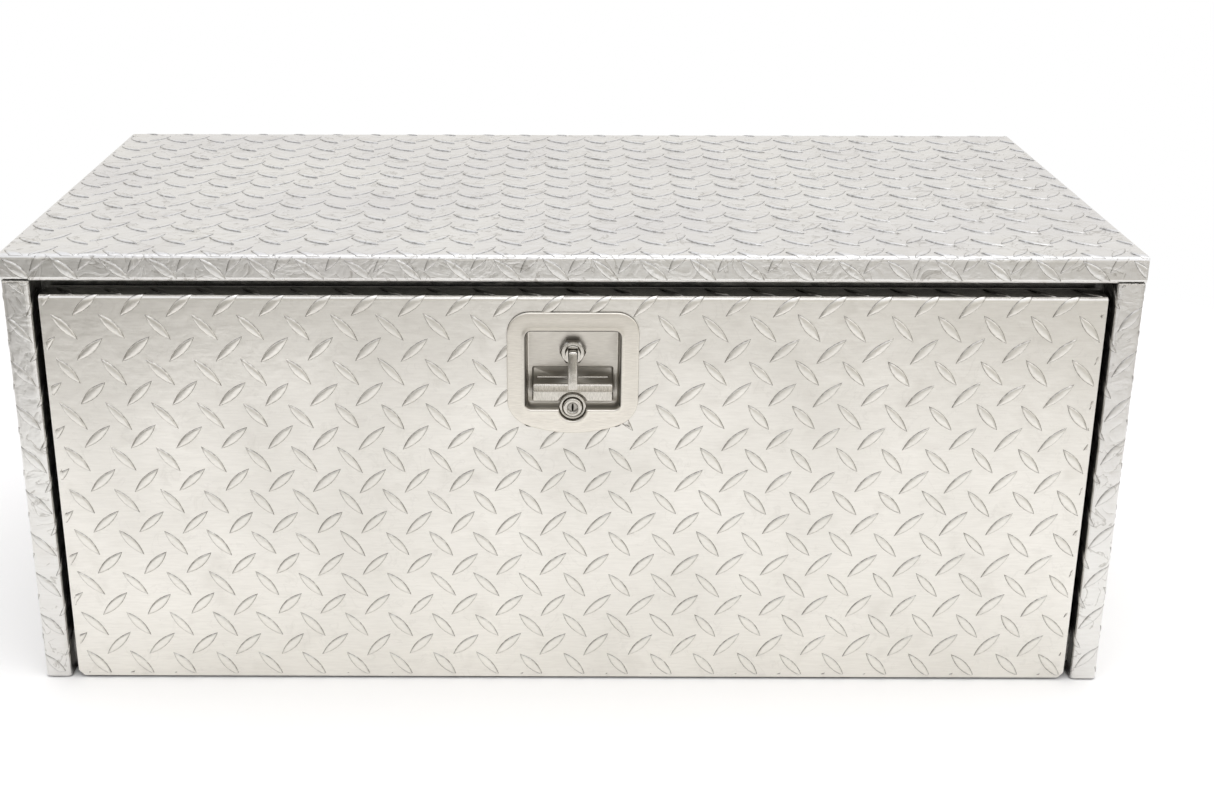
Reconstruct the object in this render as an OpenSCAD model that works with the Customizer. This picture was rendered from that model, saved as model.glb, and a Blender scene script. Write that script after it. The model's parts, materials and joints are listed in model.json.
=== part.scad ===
// Underbody truck tool box with a drop-down door.
// Origin: centre of the footprint, on the surface the box stands on.
// +X is to the right of the door, -Y is the door side, +Z is up. Millimetres.
// Inside the modules, y is measured back from the face of the front frame.

/* [Box] */
// Width over the two end panels
box_w = 914.4; // [800:1:1220]
// Depth from the front frame to the back
box_d = 457.2; // [400:1:610]
// Height over the top and the floor
box_h = 381; // [330:1:460]
// Thickness of the tread plate
plate_t = 2.5; // [2:0.1:3.2]
// Inside radius of every fold in the plate
fold_r = 1.5; // [1:0.1:3]

/* [Front frame] */
// Width of the frame's face, at the sides and the top
frame_w = 22.5; // [18:0.5:32]
// Depth from the frame's face to the stop behind the door
stop_y = 32; // [31:0.5:36]
// Width of the stop that the door closes on
stop_w = 24; // [20:0.5:28]
// Height of the sill behind the foot of the door
sill_h = 38.5; // [36:0.5:40]
// Depth from the frame's face to the front of the sill
sill_y = 14; // [13.5:0.5:16]

/* [Door] */
// Gap between the door and the frame at each side
side_gap = 6.5; // [4:0.5:8]
// Gap between the door and the frame at the top
top_gap = 11; // [8:0.5:12]
// Clearance under the foot of the door
foot_gap = 0.8; // [0.5:0.1:2]
// Depth of the door's folded edges
door_edge = 24.5; // [24:0.5:25]
// Thickness of the liner on the back of the door
liner_t = 1.5; // [1.2:0.1:2]
// Width of the lips that carry the liner
lip_w = 16; // [14:0.5:20]

/* [Hinge] */
// Outer radius of the hinge barrel
barrel_r = 3; // [2.8:0.1:3.2]
// Radius of the hinge pin
pin_r = 1.6; // [1.2:0.1:1.8]
// Thickness of the hinge leaves
leaf_t = 1.5; // [1.2:0.1:1.6]
// Number of knuckles along the hinge
knuckles = 33; // [15:2:41]

/* [Door stays] */
// Distance of both stay pins from the hinge axis
stay_r = 150; // [130:1:170]
// Door pin's distance behind the hinge axis, door closed
stay_door_y = 39; // [36:1:46]
// Guide pin's distance behind the hinge axis
stay_guide_y = 75; // [70:1:85]
// Width of the slotted stay arm
arm_w = 18; // [16:1:22]

/* [Latch] */
// Width of the latch plate
latch_w = 107; // [100:1:110]
// Height of the latch plate at its middle
latch_h = 104; // [98:1:106]
// Height of the latch shaft above the surface the box stands on
shaft_z = 297.6; // [294:0.1:299]
// Distance from the latch shaft down to the lock
lock_drop = 45; // [44:0.5:46]
// Half of the width of the T-handle's bar
bar_half = 33; // [28:0.5:33]
// Reach of the cam above the shaft
cam_reach = 34.5; // [29:0.5:34.5]

/* [Hidden] */
$fn = 48;
bore_fit = 0.05;
fold_clear = 0.3;
bend_steps = 4;
latch_proud = 2.4;
front_y = -(box_d - latch_proud) / 2;
half_w = box_w / 2;
inner_half = half_w - plate_t;
frame_half = half_w - frame_w;
frame_top = box_h - frame_w;
stop_back = stop_y + plate_t;
stop_half = frame_half - stop_w;
sill_stop_top = sill_h + 13.5;
head_stop_low = frame_top - stop_w;

// Door
door_half = frame_half - side_gap;
door_top = frame_top - top_gap;
foot_z = foot_gap;
step_z = sill_h + 4;
liner_back = door_edge + liner_t;
corner_cut = 5;
lip_rivet_in = 12;
liner_rivet_r = 1.6;

// Hinge axis, hidden behind the foot of the door
axis_y = plate_t + 0.3 + barrel_r;
axis_z = axis_y + 0.5;
pin_bore_r = pin_r + bore_fit;
hinge_half = door_half - 6;
knuckle_gap = 0.4;
knuckle_pitch = 2 * hinge_half / knuckles;
leaf_top = 36;
leaf_back_y = sill_y - leaf_t;
leaf_clear = barrel_r + 0.3;
flange_low = axis_z + 8;
rivet_r = 2;
rivet_count = 12;
rivet_pitch = 2 * (hinge_half - 20) / (rivet_count - 1);
body_rivet_z = 27;
door_rivet_z = 29;

// Seal on the stop
seal_w = 7;
seal_gap = 0.3;
seal_half = frame_half - 10.7;
seal_low = sill_stop_top - 4;
seal_high = door_top - 4.5;
seal_corner_r = 9;

// Stays: both pins are stay_r from the hinge axis, so the arm turns half as far as the door
stay_door_z = sqrt(stay_r * stay_r - stay_door_y * stay_door_y);
stay_guide_z = sqrt(stay_r * stay_r - stay_guide_y * stay_guide_y);
stay_open_angle = 90;
stay_rest_angle = atan2(stay_door_z, stay_door_y) - atan2(stay_guide_z, stay_guide_y);
stay_rest_reach = 2 * stay_r * sin(stay_rest_angle / 2);
stay_full_reach = 2 * stay_r * sin((stay_rest_angle + stay_open_angle) / 2);
stay_tilt = (atan2(stay_door_z, stay_door_y) + atan2(stay_guide_z, stay_guide_y)) / 2 - 90;
arm_t = 3;
arm_x = stop_half - 6.7;
bracket_t = 3;
door_bracket_x = arm_x - bracket_t - 1;
body_bracket_x = arm_x + arm_t + 1;
stay_pin_r = 3.5;
slot_r = stay_pin_r + 0.3;
pivot_r = 3;
pivot_bore_r = pivot_r + bore_fit;
bracket_rivet_r = 2.4;
bracket_hole_r = bracket_rivet_r + bore_fit;
door_bracket_rivets = [-9, 9];
body_bracket_rivets = [-20, -4];

// Latch, measured back from the frame's face; the plate's rim stands proud of the door
pan_t = 1.6;
gasket_t = latch_proud - pan_t;
plate_top = shaft_z + 36.8;
plate_low = plate_top - latch_h;
plate_top_r = 18;
plate_low_r = 24;
plate_bulge_r = 110;
tray_half = 38.3;
tray_top = shaft_z + 20.7;
tray_low = shaft_z - 46.4;
tray_r = 4;
tray_y = 11.8;
well_y = 14.6;
well_top = shaft_z - 14.5;
lock_z = shaft_z - lock_drop;
lock_pocket_r = 11.5;
shaft_r = 6;
shaft_bore_r = shaft_r + bore_fit;
fold_y = 2.4;
hex_face_y = 5.8;
hex_af = 19;
bushing_r = 8.5;
bushing_back = 19;
eye_r = 3.1;
stem_w = 7.6;
slot_w = 8;
head_front = -0.6;
fold_pin_r = 1.25;
bar_front = -2.1;
bar_back = 1.9;
bar_top = shaft_z - 24.8;
bar_low = shaft_z - 39.4;
bar_notch_r = 13;
disc_y = 19.4;
disc_t = 3;
disc_r = 12;
cam_y = stop_back + 1.4;
cam_t = 3;
cam_w = 14;
thread_r = 4;
lock_r = 9.8;
lock_ring_y = 2.3;
lock_face_y = -1.9;
plug_r = 7.8;
plug_bore_r = plug_r + bore_fit;
lock_tail_r = 4;
lock_body_back = 19.3;
pawl_y = 19.8;
pawl_t = 2;
pawl_len = lock_drop - disc_r - 1.2;
stud_x = 45.5;
stud_top_z = plate_top - 11;
stud_low_z = plate_low + 21;
stud_r = 2.5;

// ---- Helpers ----

function unit(v) = v / norm(v);
function right_of(d) = [d.y, -d.x];
function reversed(list) = [for (i = [len(list) - 1:-1:0]) list[i]];

// Points round one fold of a sheet. The sheet lies to the right of its path.
function fold_arc(a, b, c, t, face) =
    let (
        d1 = unit(b - a),
        d2 = unit(c - b),
        s = sign(cross(d1, d2)),
        angle = acos(d1 * d2),
        path_r = s > 0 ? fold_r : fold_r + t,
        r = face == 0 ? path_r : path_r + s * t,
        to_centre = -s * right_of(d1),
        centre = b - d1 * path_r * tan(angle / 2) + to_centre * path_r,
        start = atan2(-to_centre.y, -to_centre.x)
    )
    [for (i = [0:bend_steps]) centre + r * [cos(start + s * angle * i / bend_steps),
                                            sin(start + s * angle * i / bend_steps)]];

function sheet_face(path, t, face) =
    let (
        last = len(path) - 1,
        first_off = face * t * right_of(unit(path[1] - path[0])),
        last_off = face * t * right_of(unit(path[last] - path[last - 1]))
    )
    concat(
        [path[0] + first_off],
        [for (i = [1:last - 1]) for (p = fold_arc(path[i - 1], path[i], path[i + 1], t, face)) p],
        [path[last] + last_off]
    );

// Section of a folded sheet whose outer face follows path
module sheet(path, t) {
    polygon(concat(sheet_face(path, t, 0), reversed(sheet_face(path, t, 1))));
}

function arc(centre, r, from, to, steps = 10) =
    [for (i = [0:steps]) centre + r * [cos(from + (to - from) * i / steps),
                                       sin(from + (to - from) * i / steps)]];

function round_rect(x0, y0, x1, y1, r) = concat(
    arc([x1 - r, y1 - r], r, 0, 90), arc([x0 + r, y1 - r], r, 90, 180),
    arc([x0 + r, y0 + r], r, 180, 270), arc([x1 - r, y0 + r], r, 270, 360)
);

// Places what is drawn from the frame's face
module from_front() {
    translate([0, front_y, 0]) children();
}

// A (y, z) section drawn out along x
module across(x0, x1) {
    translate([x0, 0, 0]) rotate([90, 0, 90]) linear_extrude(x1 - x0) children();
}

// An (x, z) outline drawn out along y
module facing(y0, y1) {
    translate([0, y1, 0]) rotate([90, 0, 0]) linear_extrude(y1 - y0) children();
}

module slab(low, high) {
    translate(low) cube(high - low);
}

module rod_y(x, z, r, y0, y1) {
    translate([x, y0, z]) rotate([-90, 0, 0]) cylinder(r = r, h = y1 - y0);
}

module rod_x(x0, x1, y, z, r) {
    translate([x0, y, z]) rotate([0, 90, 0]) cylinder(r = r, h = x1 - x0);
}

module hex_y(x, z, af, y0, y1) {
    translate([x, y0, z]) rotate([-90, 0, 0]) rotate(30) cylinder(d = af / cos(30), h = y1 - y0, $fn = 6);
}

// Domed rivet head, flat side at y = 0, dome towards +y or -y
module dome_y(x, y, z, r, h, towards) {
    translate([x, y, z]) rotate([-90 * towards, 0, 0]) rotate_extrude()
        polygon(concat([[0, 0]], [for (i = [0:6]) [r * cos(i * 15), h * sin(i * 15)]]));
}

module rivet_y(x, z, r, y0, y1, towards) {
    rod_y(x, z, r, y0, y1);
    dome_y(x, towards > 0 ? y1 : y0, z, 2 * r, 0.7 * r, towards);
}

function hinge_rivet_x(i) = -hinge_half + 20 + i * rivet_pitch;
function knuckle_x(i) = -hinge_half + i * knuckle_pitch;

// ---- Body of the box ----

module body_wrap() {
    color("gainsboro") from_front() difference() {
        intersection() {
            across(-half_w, half_w) sheet([
                [stop_y, head_stop_low], [stop_y, frame_top], [0, frame_top], [0, box_h],
                [box_d, box_h], [box_d, 0], [sill_y, 0], [sill_y, sill_h],
                [stop_y, sill_h], [stop_y, sill_stop_top]
            ], plate_t);
            union() {
                slab([-half_w, -1, box_h - plate_t], [half_w, box_d + 1, box_h + 1]);
                slab([-half_w, -1, frame_top], [half_w, plate_t, box_h + 1]);
                slab([-inner_half, -1, frame_top], [inner_half, box_d + 1, box_h + 1]);
                slab([-inner_half, stop_back, -1], [inner_half, box_d + 1, box_h + 1]);
                slab([-frame_half, -1, -1], [frame_half, stop_back, box_h]);
            }
        }
        for (i = [0:rivet_count - 1])
            rod_y(hinge_rivet_x(i), body_rivet_z, rivet_r + bore_fit, sill_y - 1, sill_y + plate_t + 1);
    }
}

module end_panel(side) {
    color("gainsboro") from_front() mirror([side < 0 ? 1 : 0, 0, 0]) difference() {
        linear_extrude(box_h - plate_t) sheet([
            [half_w, box_d], [half_w, 0], [frame_half, 0], [frame_half, stop_y], [stop_half, stop_y]
        ], plate_t);
        slab([0, -1, frame_top], [inner_half, box_d, box_h]);
        slab([0, -1, frame_top], [half_w + 1, plate_t, box_h]);
        slab([0, stop_y - 5, -1], [frame_half, stop_back + 1, sill_stop_top]);
        slab([0, stop_y - 5, head_stop_low], [frame_half, stop_back + 1, box_h]);
        for (dz = body_bracket_rivets)
            rod_y(body_bracket_x + 14, axis_z + stay_guide_z + dz, bracket_hole_r,
                  stop_y - 1, stop_back + 1);
    }
}

module left_end_panel() end_panel(-1);
module right_end_panel() end_panel(1);

module door_seal() {
    color("dimgray") from_front() facing(liner_back + seal_gap, stop_y) difference() {
        polygon(round_rect(-seal_half - seal_w / 2, seal_low - seal_w / 2,
                           seal_half + seal_w / 2, seal_high + seal_w / 2, seal_corner_r + seal_w / 2));
        polygon(round_rect(-seal_half + seal_w / 2, seal_low + seal_w / 2,
                           seal_half - seal_w / 2, seal_high - seal_w / 2, seal_corner_r - seal_w / 2));
    }
}

// ---- Door ----

module door_skin() {
    color("whitesmoke") from_front() difference() {
        union() {
            translate([0, 0, foot_z]) linear_extrude(door_top - foot_z - fold_r - plate_t) sheet([
                [door_half - lip_w, door_edge], [door_half, door_edge], [door_half, 0],
                [-door_half, 0], [-door_half, door_edge], [-door_half + lip_w, door_edge]
            ], plate_t);
            across(-door_half, door_half) sheet([
                [0, foot_z], [0, door_top], [door_edge, door_top], [door_edge, door_top - lip_w]
            ], plate_t);
        }
        slab([-door_half - 1, axis_y - fold_clear, -1],
             [door_half + 1, door_edge + 1, step_z + liner_t + fold_r + 0.2]);
        for (side = [-1, 1])
            translate([side * door_half, 0, foot_z]) rotate([0, 45, 0])
                cube([corner_cut * sqrt(2), 30, corner_cut * sqrt(2)], center = true);
        facing(-1, plate_t + 1) polygon(round_rect(-tray_half - 3, tray_low - 16,
                                                   tray_half + 3, tray_top + 3, 6));
        for (x = [-stud_x, stud_x], z = [stud_low_z, stud_top_z])
            rod_y(x, z, stud_r + 0.3, -1, plate_t + 1);
        liner_rivet_holes(door_edge - plate_t - 1, door_edge + 1);
    }
}

module liner_rivet_holes(y0, y1) {
    for (p = liner_rivet_places())
        rod_y(p.x, p.y, liner_rivet_r + bore_fit, y0, y1);
}

function liner_rivet_places() = concat(
    [for (side = [-1, 1], i = [0:4]) [side * (door_half - lip_rivet_in), step_z + 22 + i * 58]],
    [for (i = [-5:5]) [i * (door_half - lip_rivet_in - 20) / 5, door_top - lip_rivet_in]]
);

module door_liner() {
    color("silver") from_front() difference() {
        intersection() {
            across(-door_half, door_half) sheet([
                [liner_back, door_top], [liner_back, step_z],
                [axis_y - fold_clear, step_z], [axis_y - fold_clear, flange_low]
            ], liner_t);
            union() {
                slab([-door_half, door_edge, 0], [door_half, liner_back + 1, box_h]);
                slab([-door_half + plate_t + fold_clear, 0, 0],
                     [door_half - plate_t - fold_clear, liner_back + 1, box_h]);
            }
        }
        rod_y(0, shaft_z, disc_r + 2, door_edge - 1, liner_back + 1);
        liner_rivet_holes(door_edge - 1, liner_back + 1);
        door_rivet_holes();
        for (side = [-1, 1], dz = door_bracket_rivets)
            rod_y(side * (door_bracket_x - 9), axis_z + stay_door_z + dz, bracket_hole_r,
                  door_edge - 1, liner_back + 1);
    }
}

module liner_rivets() {
    color("silver") from_front() for (p = liner_rivet_places())
        rivet_y(p.x, p.y, liner_rivet_r, door_edge - plate_t - 0.5, liner_back, 1);
}

module door_rivet_holes() {
    for (i = [0:rivet_count - 1])
        rod_y(hinge_rivet_x(i), door_rivet_z, rivet_r + bore_fit, plate_t - 0.5, axis_y + 1);
}

// ---- Hinge ----

// Every second knuckle, starting at first, with the web that joins it to its leaf
module knuckle_row(first) {
    for (i = [first:2:knuckles - 1])
        rod_x(knuckle_x(i) + knuckle_gap / 2, knuckle_x(i + 1) - knuckle_gap / 2, axis_y, axis_z, barrel_r);
}

module pin_bore() {
    rod_x(-hinge_half - 1, hinge_half + 1, axis_y, axis_z, pin_bore_r);
}

module hinge_leaf_body() {
    web_top = axis_z + barrel_r;
    color("lightgray") from_front() difference() {
        union() {
            knuckle_row(0);
            for (i = [0:2:knuckles - 1])
                slab([knuckle_x(i) + knuckle_gap / 2, axis_y, web_top - leaf_t],
                     [knuckle_x(i + 1) - knuckle_gap / 2, axis_y + leaf_clear + 0.1, web_top]);
            slab([-hinge_half, axis_y + leaf_clear, web_top - leaf_t], [hinge_half, sill_y, web_top]);
            slab([-hinge_half, leaf_back_y, web_top - leaf_t], [hinge_half, sill_y, leaf_top]);
        }
        pin_bore();
        for (i = [0:rivet_count - 1])
            rod_y(hinge_rivet_x(i), body_rivet_z, rivet_r + bore_fit, leaf_back_y - 1, sill_y + 1);
    }
}

module hinge_leaf_door() {
    color("lightgray") from_front() difference() {
        union() {
            knuckle_row(1);
            for (i = [1:2:knuckles - 1])
                slab([knuckle_x(i) + knuckle_gap / 2, axis_y - barrel_r, axis_z],
                     [knuckle_x(i + 1) - knuckle_gap / 2, plate_t + leaf_t, axis_z + leaf_clear + 0.1]);
            slab([-hinge_half, plate_t, axis_z + leaf_clear], [hinge_half, plate_t + leaf_t, leaf_top]);
        }
        pin_bore();
        door_rivet_holes();
    }
}

module hinge_pin() {
    color("gray") from_front() rod_x(-hinge_half, hinge_half, axis_y, axis_z, pin_r);
}

module hinge_rivets_body() {
    color("silver") from_front() for (i = [0:rivet_count - 1]) {
        rivet_y(hinge_rivet_x(i), body_rivet_z, rivet_r, leaf_back_y, sill_y + plate_t, -1);
        dome_y(hinge_rivet_x(i), sill_y + plate_t, body_rivet_z, 1.5 * rivet_r, 1.2, 1);
    }
}

module hinge_rivets_door() {
    color("silver") from_front() for (i = [0:rivet_count - 1])
        rivet_y(hinge_rivet_x(i), door_rivet_z, rivet_r, plate_t + 0.1, axis_y - 0.3, 1);
}

// ---- Door stays ----

// Draws in the plane of the right-hand stay; the left-hand one is its mirror image
module on_side(side) {
    mirror([side < 0 ? 1 : 0, 0, 0]) children();
}

module stay_arm(side) {
    color("lightgray") from_front() on_side(side)
        translate([arm_x, axis_y + stay_door_y, axis_z + stay_door_z]) rotate([stay_tilt, 0, 0])
            across(0, arm_t) difference() {
                polygon(concat(
                    arc([0, 0], arm_w / 2, 90, 270),
                    arc([stay_full_reach + 2, 0], arm_w / 2, -90, 90)
                ));
                circle(r = pivot_bore_r);
                polygon(concat(arc([stay_rest_reach - 1, 0], slot_r, 90, 270),
                               arc([stay_full_reach + 1, 0], slot_r, -90, 90)));
            }
}

module stay_arm_left() stay_arm(-1);
module stay_arm_right() stay_arm(1);

// Angle on the door liner; its ear carries the pivot
module stay_door_bracket(side) {
    y = axis_y + stay_door_y;
    z = axis_z + stay_door_z;
    color("silver") from_front() on_side(side) difference() {
        union() {
            across(door_bracket_x, door_bracket_x + bracket_t)
                polygon(concat([[liner_back, z - 18]], arc([y, z], 9, -60, 60), [[liner_back, z + 18]]));
            slab([door_bracket_x - 18, liner_back, z - 18],
                 [door_bracket_x + bracket_t, liner_back + bracket_t, z + 18]);
        }
        rod_x(door_bracket_x - 1, door_bracket_x + bracket_t + 1, y, z, pivot_bore_r);
        for (dz = door_bracket_rivets)
            rod_y(door_bracket_x - 9, z + dz, bracket_hole_r,
                  liner_back - 1, liner_back + bracket_t + 1);
    }
}

module stay_door_bracket_left() stay_door_bracket(-1);
module stay_door_bracket_right() stay_door_bracket(1);

module stay_pivot(side) {
    y = axis_y + stay_door_y;
    z = axis_z + stay_door_z;
    color("silver") from_front() on_side(side) {
        rod_x(door_bracket_x, arm_x + arm_t + 0.3, y, z, pivot_r);
        rod_x(door_bracket_x + bracket_t + 0.2, arm_x - 0.2, y, z, 6);
        rod_x(arm_x + arm_t + 0.3, arm_x + arm_t + 2.3, y, z, 6);
        rod_x(door_bracket_x - 2, door_bracket_x, y, z, 5.5);
    }
}

module stay_pivot_left() stay_pivot(-1);
module stay_pivot_right() stay_pivot(1);

// Angle on the back of the side stop; its ear carries the guide pin
module stay_body_bracket(side) {
    y = axis_y + stay_guide_y;
    z = axis_z + stay_guide_z;
    color("silver") from_front() on_side(side) difference() {
        union() {
            across(body_bracket_x, body_bracket_x + bracket_t)
                polygon(concat([[stop_back, z - 28]], arc([y, z], 10, -70, 70), [[stop_back, z + 4]]));
            slab([body_bracket_x, stop_back, z - 28], [body_bracket_x + 22, stop_back + bracket_t, z + 4]);
        }
        rod_x(body_bracket_x - 1, body_bracket_x + bracket_t + 1, y, z, stay_pin_r + 0.02);
        for (dz = body_bracket_rivets)
            rod_y(body_bracket_x + 14, z + dz, bracket_hole_r,
                  stop_back - 1, stop_back + bracket_t + 1);
    }
}

module stay_body_bracket_left() stay_body_bracket(-1);
module stay_body_bracket_right() stay_body_bracket(1);

module stay_guide_pin(side) {
    y = axis_y + stay_guide_y;
    z = axis_z + stay_guide_z;
    color("gray") from_front() on_side(side) {
        rod_x(arm_x - 0.4, body_bracket_x + bracket_t + 4, y, z, stay_pin_r);
        rod_x(arm_x - 2.9, arm_x - 0.4, y, z, 7);
        rod_x(body_bracket_x - 0.7, body_bracket_x, y, z, 7);
        rod_x(body_bracket_x + bracket_t, body_bracket_x + bracket_t + 3, y, z, 6);
    }
}

module stay_guide_pin_left() stay_guide_pin(-1);
module stay_guide_pin_right() stay_guide_pin(1);

module bracket_rivets_door() {
    color("silver") from_front() for (side = [-1, 1], dz = door_bracket_rivets)
        rivet_y(side * (door_bracket_x - 9), axis_z + stay_door_z + dz, bracket_rivet_r,
                door_edge - 1, liner_back + bracket_t, 1);
}

module bracket_rivets_body() {
    color("silver") from_front() for (side = [-1, 1], dz = body_bracket_rivets)
        rivet_y(side * (body_bracket_x + 14), axis_z + stay_guide_z + dz, bracket_rivet_r,
                stop_y + 0.2, stop_back + bracket_t, 1);
}

// ---- Latch ----

// Outline of the latch plate: round shoulders and a foot that bulges under the lock
module plate_outline() {
    bulge_centre = [0, plate_low + plate_bulge_r];
    low_x = latch_w / 2 - plate_low_r;
    low_reach = plate_bulge_r - plate_low_r;
    low_centre = [low_x, bulge_centre.y - sqrt(low_reach * low_reach - low_x * low_x)];
    foot_angle = atan2(low_centre.x, bulge_centre.y - low_centre.y);
    half = concat(
        arc(bulge_centre, plate_bulge_r, -90, -90 + foot_angle, 8),
        arc(low_centre, plate_low_r, -90 + foot_angle, 0, 8),
        arc([latch_w / 2 - plate_top_r, plate_top - plate_top_r], plate_top_r, 0, 90, 8)
    );
    polygon(concat(half, reversed([for (p = half) [-p.x, p.y]])));
}

module tray_outline(grow) {
    polygon(round_rect(-tray_half - grow, tray_low - grow,
                       tray_half + grow, tray_top + grow, tray_r + grow));
    translate([0, lock_z]) circle(r = lock_pocket_r + grow);
}

module well_outline(grow) {
    polygon(round_rect(-tray_half - grow, tray_low - grow,
                       tray_half + grow, well_top + grow, tray_r + grow));
    translate([0, lock_z]) circle(r = lock_pocket_r + grow);
}

module latch_pan() {
    color("lightgray") from_front() {
        difference() {
            union() {
                facing(-latch_proud, -gasket_t) plate_outline();
                facing(-gasket_t, tray_y + pan_t) tray_outline(pan_t);
                facing(-gasket_t, well_y + pan_t) well_outline(pan_t);
            }
            facing(-latch_proud - 1, tray_y) tray_outline(0);
            facing(-latch_proud - 1, well_y) well_outline(0);
            rod_y(0, shaft_z, bushing_r + bore_fit, tray_y - 1, well_y + pan_t + 1);
            rod_y(0, lock_z, lock_r - 0.8 + bore_fit, well_y - 1, well_y + pan_t + 1);
        }
        for (x = [-stud_x, stud_x], z = [stud_low_z, stud_top_z])
            rod_y(x, z, stud_r, -gasket_t, 9.5);
    }
}

module latch_gasket() {
    color("dimgray") from_front() facing(-gasket_t, 0) difference() {
        plate_outline();
        tray_outline(pan_t + 0.2);
        for (x = [-stud_x, stud_x], z = [stud_low_z, stud_top_z])
            translate([x, z]) circle(r = stud_r + 0.2);
    }
}

module latch_nuts() {
    color("silver") from_front() for (x = [-stud_x, stud_x], z = [stud_low_z, stud_top_z]) difference() {
        hex_y(x, z, 8, plate_t, plate_t + 4.5);
        rod_y(x, z, stud_r + bore_fit, plate_t - 1, plate_t + 6);
    }
}

module hex_bushing() {
    color("silver") from_front() difference() {
        union() {
            hex_y(0, shaft_z, hex_af, hex_face_y, tray_y);
            rod_y(0, shaft_z, bushing_r, tray_y - 1, bushing_back);
        }
        rod_y(0, shaft_z, shaft_bore_r, hex_face_y - 1, bushing_back + 1);
    }
}

module bushing_nut() {
    color("silver") from_front() difference() {
        hex_y(0, shaft_z, 21, tray_y + pan_t, tray_y + pan_t + 4.5);
        rod_y(0, shaft_z, bushing_r + bore_fit, tray_y, tray_y + pan_t + 6);
    }
}

// Round shaft with a forked head, a flat for the disc and a threaded end for the cam
module latch_shaft() {
    color("gray") from_front() difference() {
        union() {
            rod_y(0, shaft_z, shaft_r, head_front, cam_y);
            rod_y(0, shaft_z, thread_r, cam_y, cam_y + cam_t + 8);
        }
        slab([-slot_w / 2, head_front - 1, shaft_z - shaft_r - 1],
             [slot_w / 2, hex_face_y, shaft_z + shaft_r + 1]);
        rod_x(-shaft_r - 1, shaft_r + 1, fold_y, shaft_z, fold_pin_r + 0.02);
    }
}

module lock_disc() {
    color("silver") from_front() difference() {
        rod_y(0, shaft_z, disc_r, disc_y, disc_y + disc_t);
        rod_y(0, shaft_z, shaft_r + 0.02, disc_y - 1, disc_y + disc_t + 1);
        slab([-5, disc_y - 1, shaft_z - disc_r - 1], [5, disc_y + disc_t + 1, shaft_z - disc_r + 3.5]);
    }
}

module latch_cam() {
    color("silver") from_front() difference() {
        facing(cam_y, cam_y + cam_t) polygon(concat(
            arc([0, shaft_z], 11, 150, 390, 16),
            arc([0, shaft_z + cam_reach - cam_w / 2], cam_w / 2, 0, 180, 12)
        ));
        rod_y(0, shaft_z, thread_r + 0.02, cam_y - 1, cam_y + cam_t + 1);
    }
}

module cam_nut() {
    nut_y = cam_y + cam_t;
    color("silver") from_front() difference() {
        union() {
            rod_y(0, shaft_z, 8, nut_y, nut_y + 1);
            hex_y(0, shaft_z, 13, nut_y + 1, nut_y + 6);
        }
        rod_y(0, shaft_z, thread_r + 0.02, nut_y - 1, nut_y + 8);
    }
}

// Folding T-handle: an eye in the shaft's fork, a stem and a bar notched round the lock
module t_handle() {
    color("lightgray") from_front() difference() {
        union() {
            across(-stem_w / 2, stem_w / 2) polygon(concat(
                arc([fold_y, shaft_z], eye_r, 180, 0, 12),
                arc([fold_y, shaft_z], eye_r, 0, -60, 4),
                [[bar_back, shaft_z - 9], [bar_back, bar_top - 1], [bar_front, bar_top - 1],
                 [bar_front + 0.5, shaft_z - 6], [fold_y - eye_r, shaft_z - 1]]
            ));
            facing(bar_front, bar_back) difference() {
                polygon(round_rect(-bar_half, bar_low, bar_half, bar_top, 3));
                translate([0, lock_z]) circle(r = bar_notch_r);
            }
        }
        rod_x(-stem_w, stem_w, fold_y, shaft_z, fold_pin_r + bore_fit);
    }
}

module fold_pin() {
    color("gray") from_front() rod_x(-5.6, 5.6, fold_y, shaft_z, fold_pin_r);
}

module lock_housing() {
    color("silver") from_front() difference() {
        union() {
            rod_y(0, lock_z, lock_r, lock_ring_y, well_y);
            rod_y(0, lock_z, lock_r - 0.8, well_y, lock_body_back);
        }
        rod_y(0, lock_z, plug_bore_r, lock_ring_y - 1, lock_body_back - 2);
        rod_y(0, lock_z, lock_tail_r + bore_fit, lock_body_back - 3, lock_body_back + 1);
    }
}

module lock_nut() {
    color("silver") from_front() difference() {
        hex_y(0, lock_z, 24, well_y + pan_t, well_y + pan_t + 2.8);
        rod_y(0, lock_z, lock_r - 0.8 + bore_fit, well_y, well_y + pan_t + 4);
    }
}

module lock_plug() {
    color("gray") from_front() difference() {
        union() {
            rod_y(0, lock_z, plug_r, lock_face_y, lock_body_back - 2.2);
            rod_y(0, lock_z, lock_tail_r, lock_body_back - 2.2, pawl_y + pawl_t);
        }
        slab([-0.6, lock_face_y - 1, lock_z - 3.2], [0.6, lock_face_y + 8, lock_z + 3.2]);
        rod_y(0, lock_z, 1.55, pawl_y + pawl_t - 6, pawl_y + pawl_t + 1);
    }
}

// Flat pawl; it lies to the left until the key turns it up to the disc
module lock_pawl() {
    color("silver") from_front() difference() {
        facing(pawl_y, pawl_y + pawl_t) polygon(concat(
            arc([0, lock_z], 7, -60, 60, 10),
            arc([-pawl_len + 4, lock_z], 4, 90, 270, 8)
        ));
        rod_y(0, lock_z, lock_tail_r + 0.02, pawl_y - 1, pawl_y + pawl_t + 1);
    }
}

module pawl_screw() {
    color("gray") from_front() {
        rod_y(0, lock_z, 1.5, pawl_y + pawl_t - 5, pawl_y + pawl_t);
        rod_y(0, lock_z, 5, pawl_y + pawl_t, pawl_y + pawl_t + 1.6);
    }
}

// ---- Assembly ----

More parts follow.
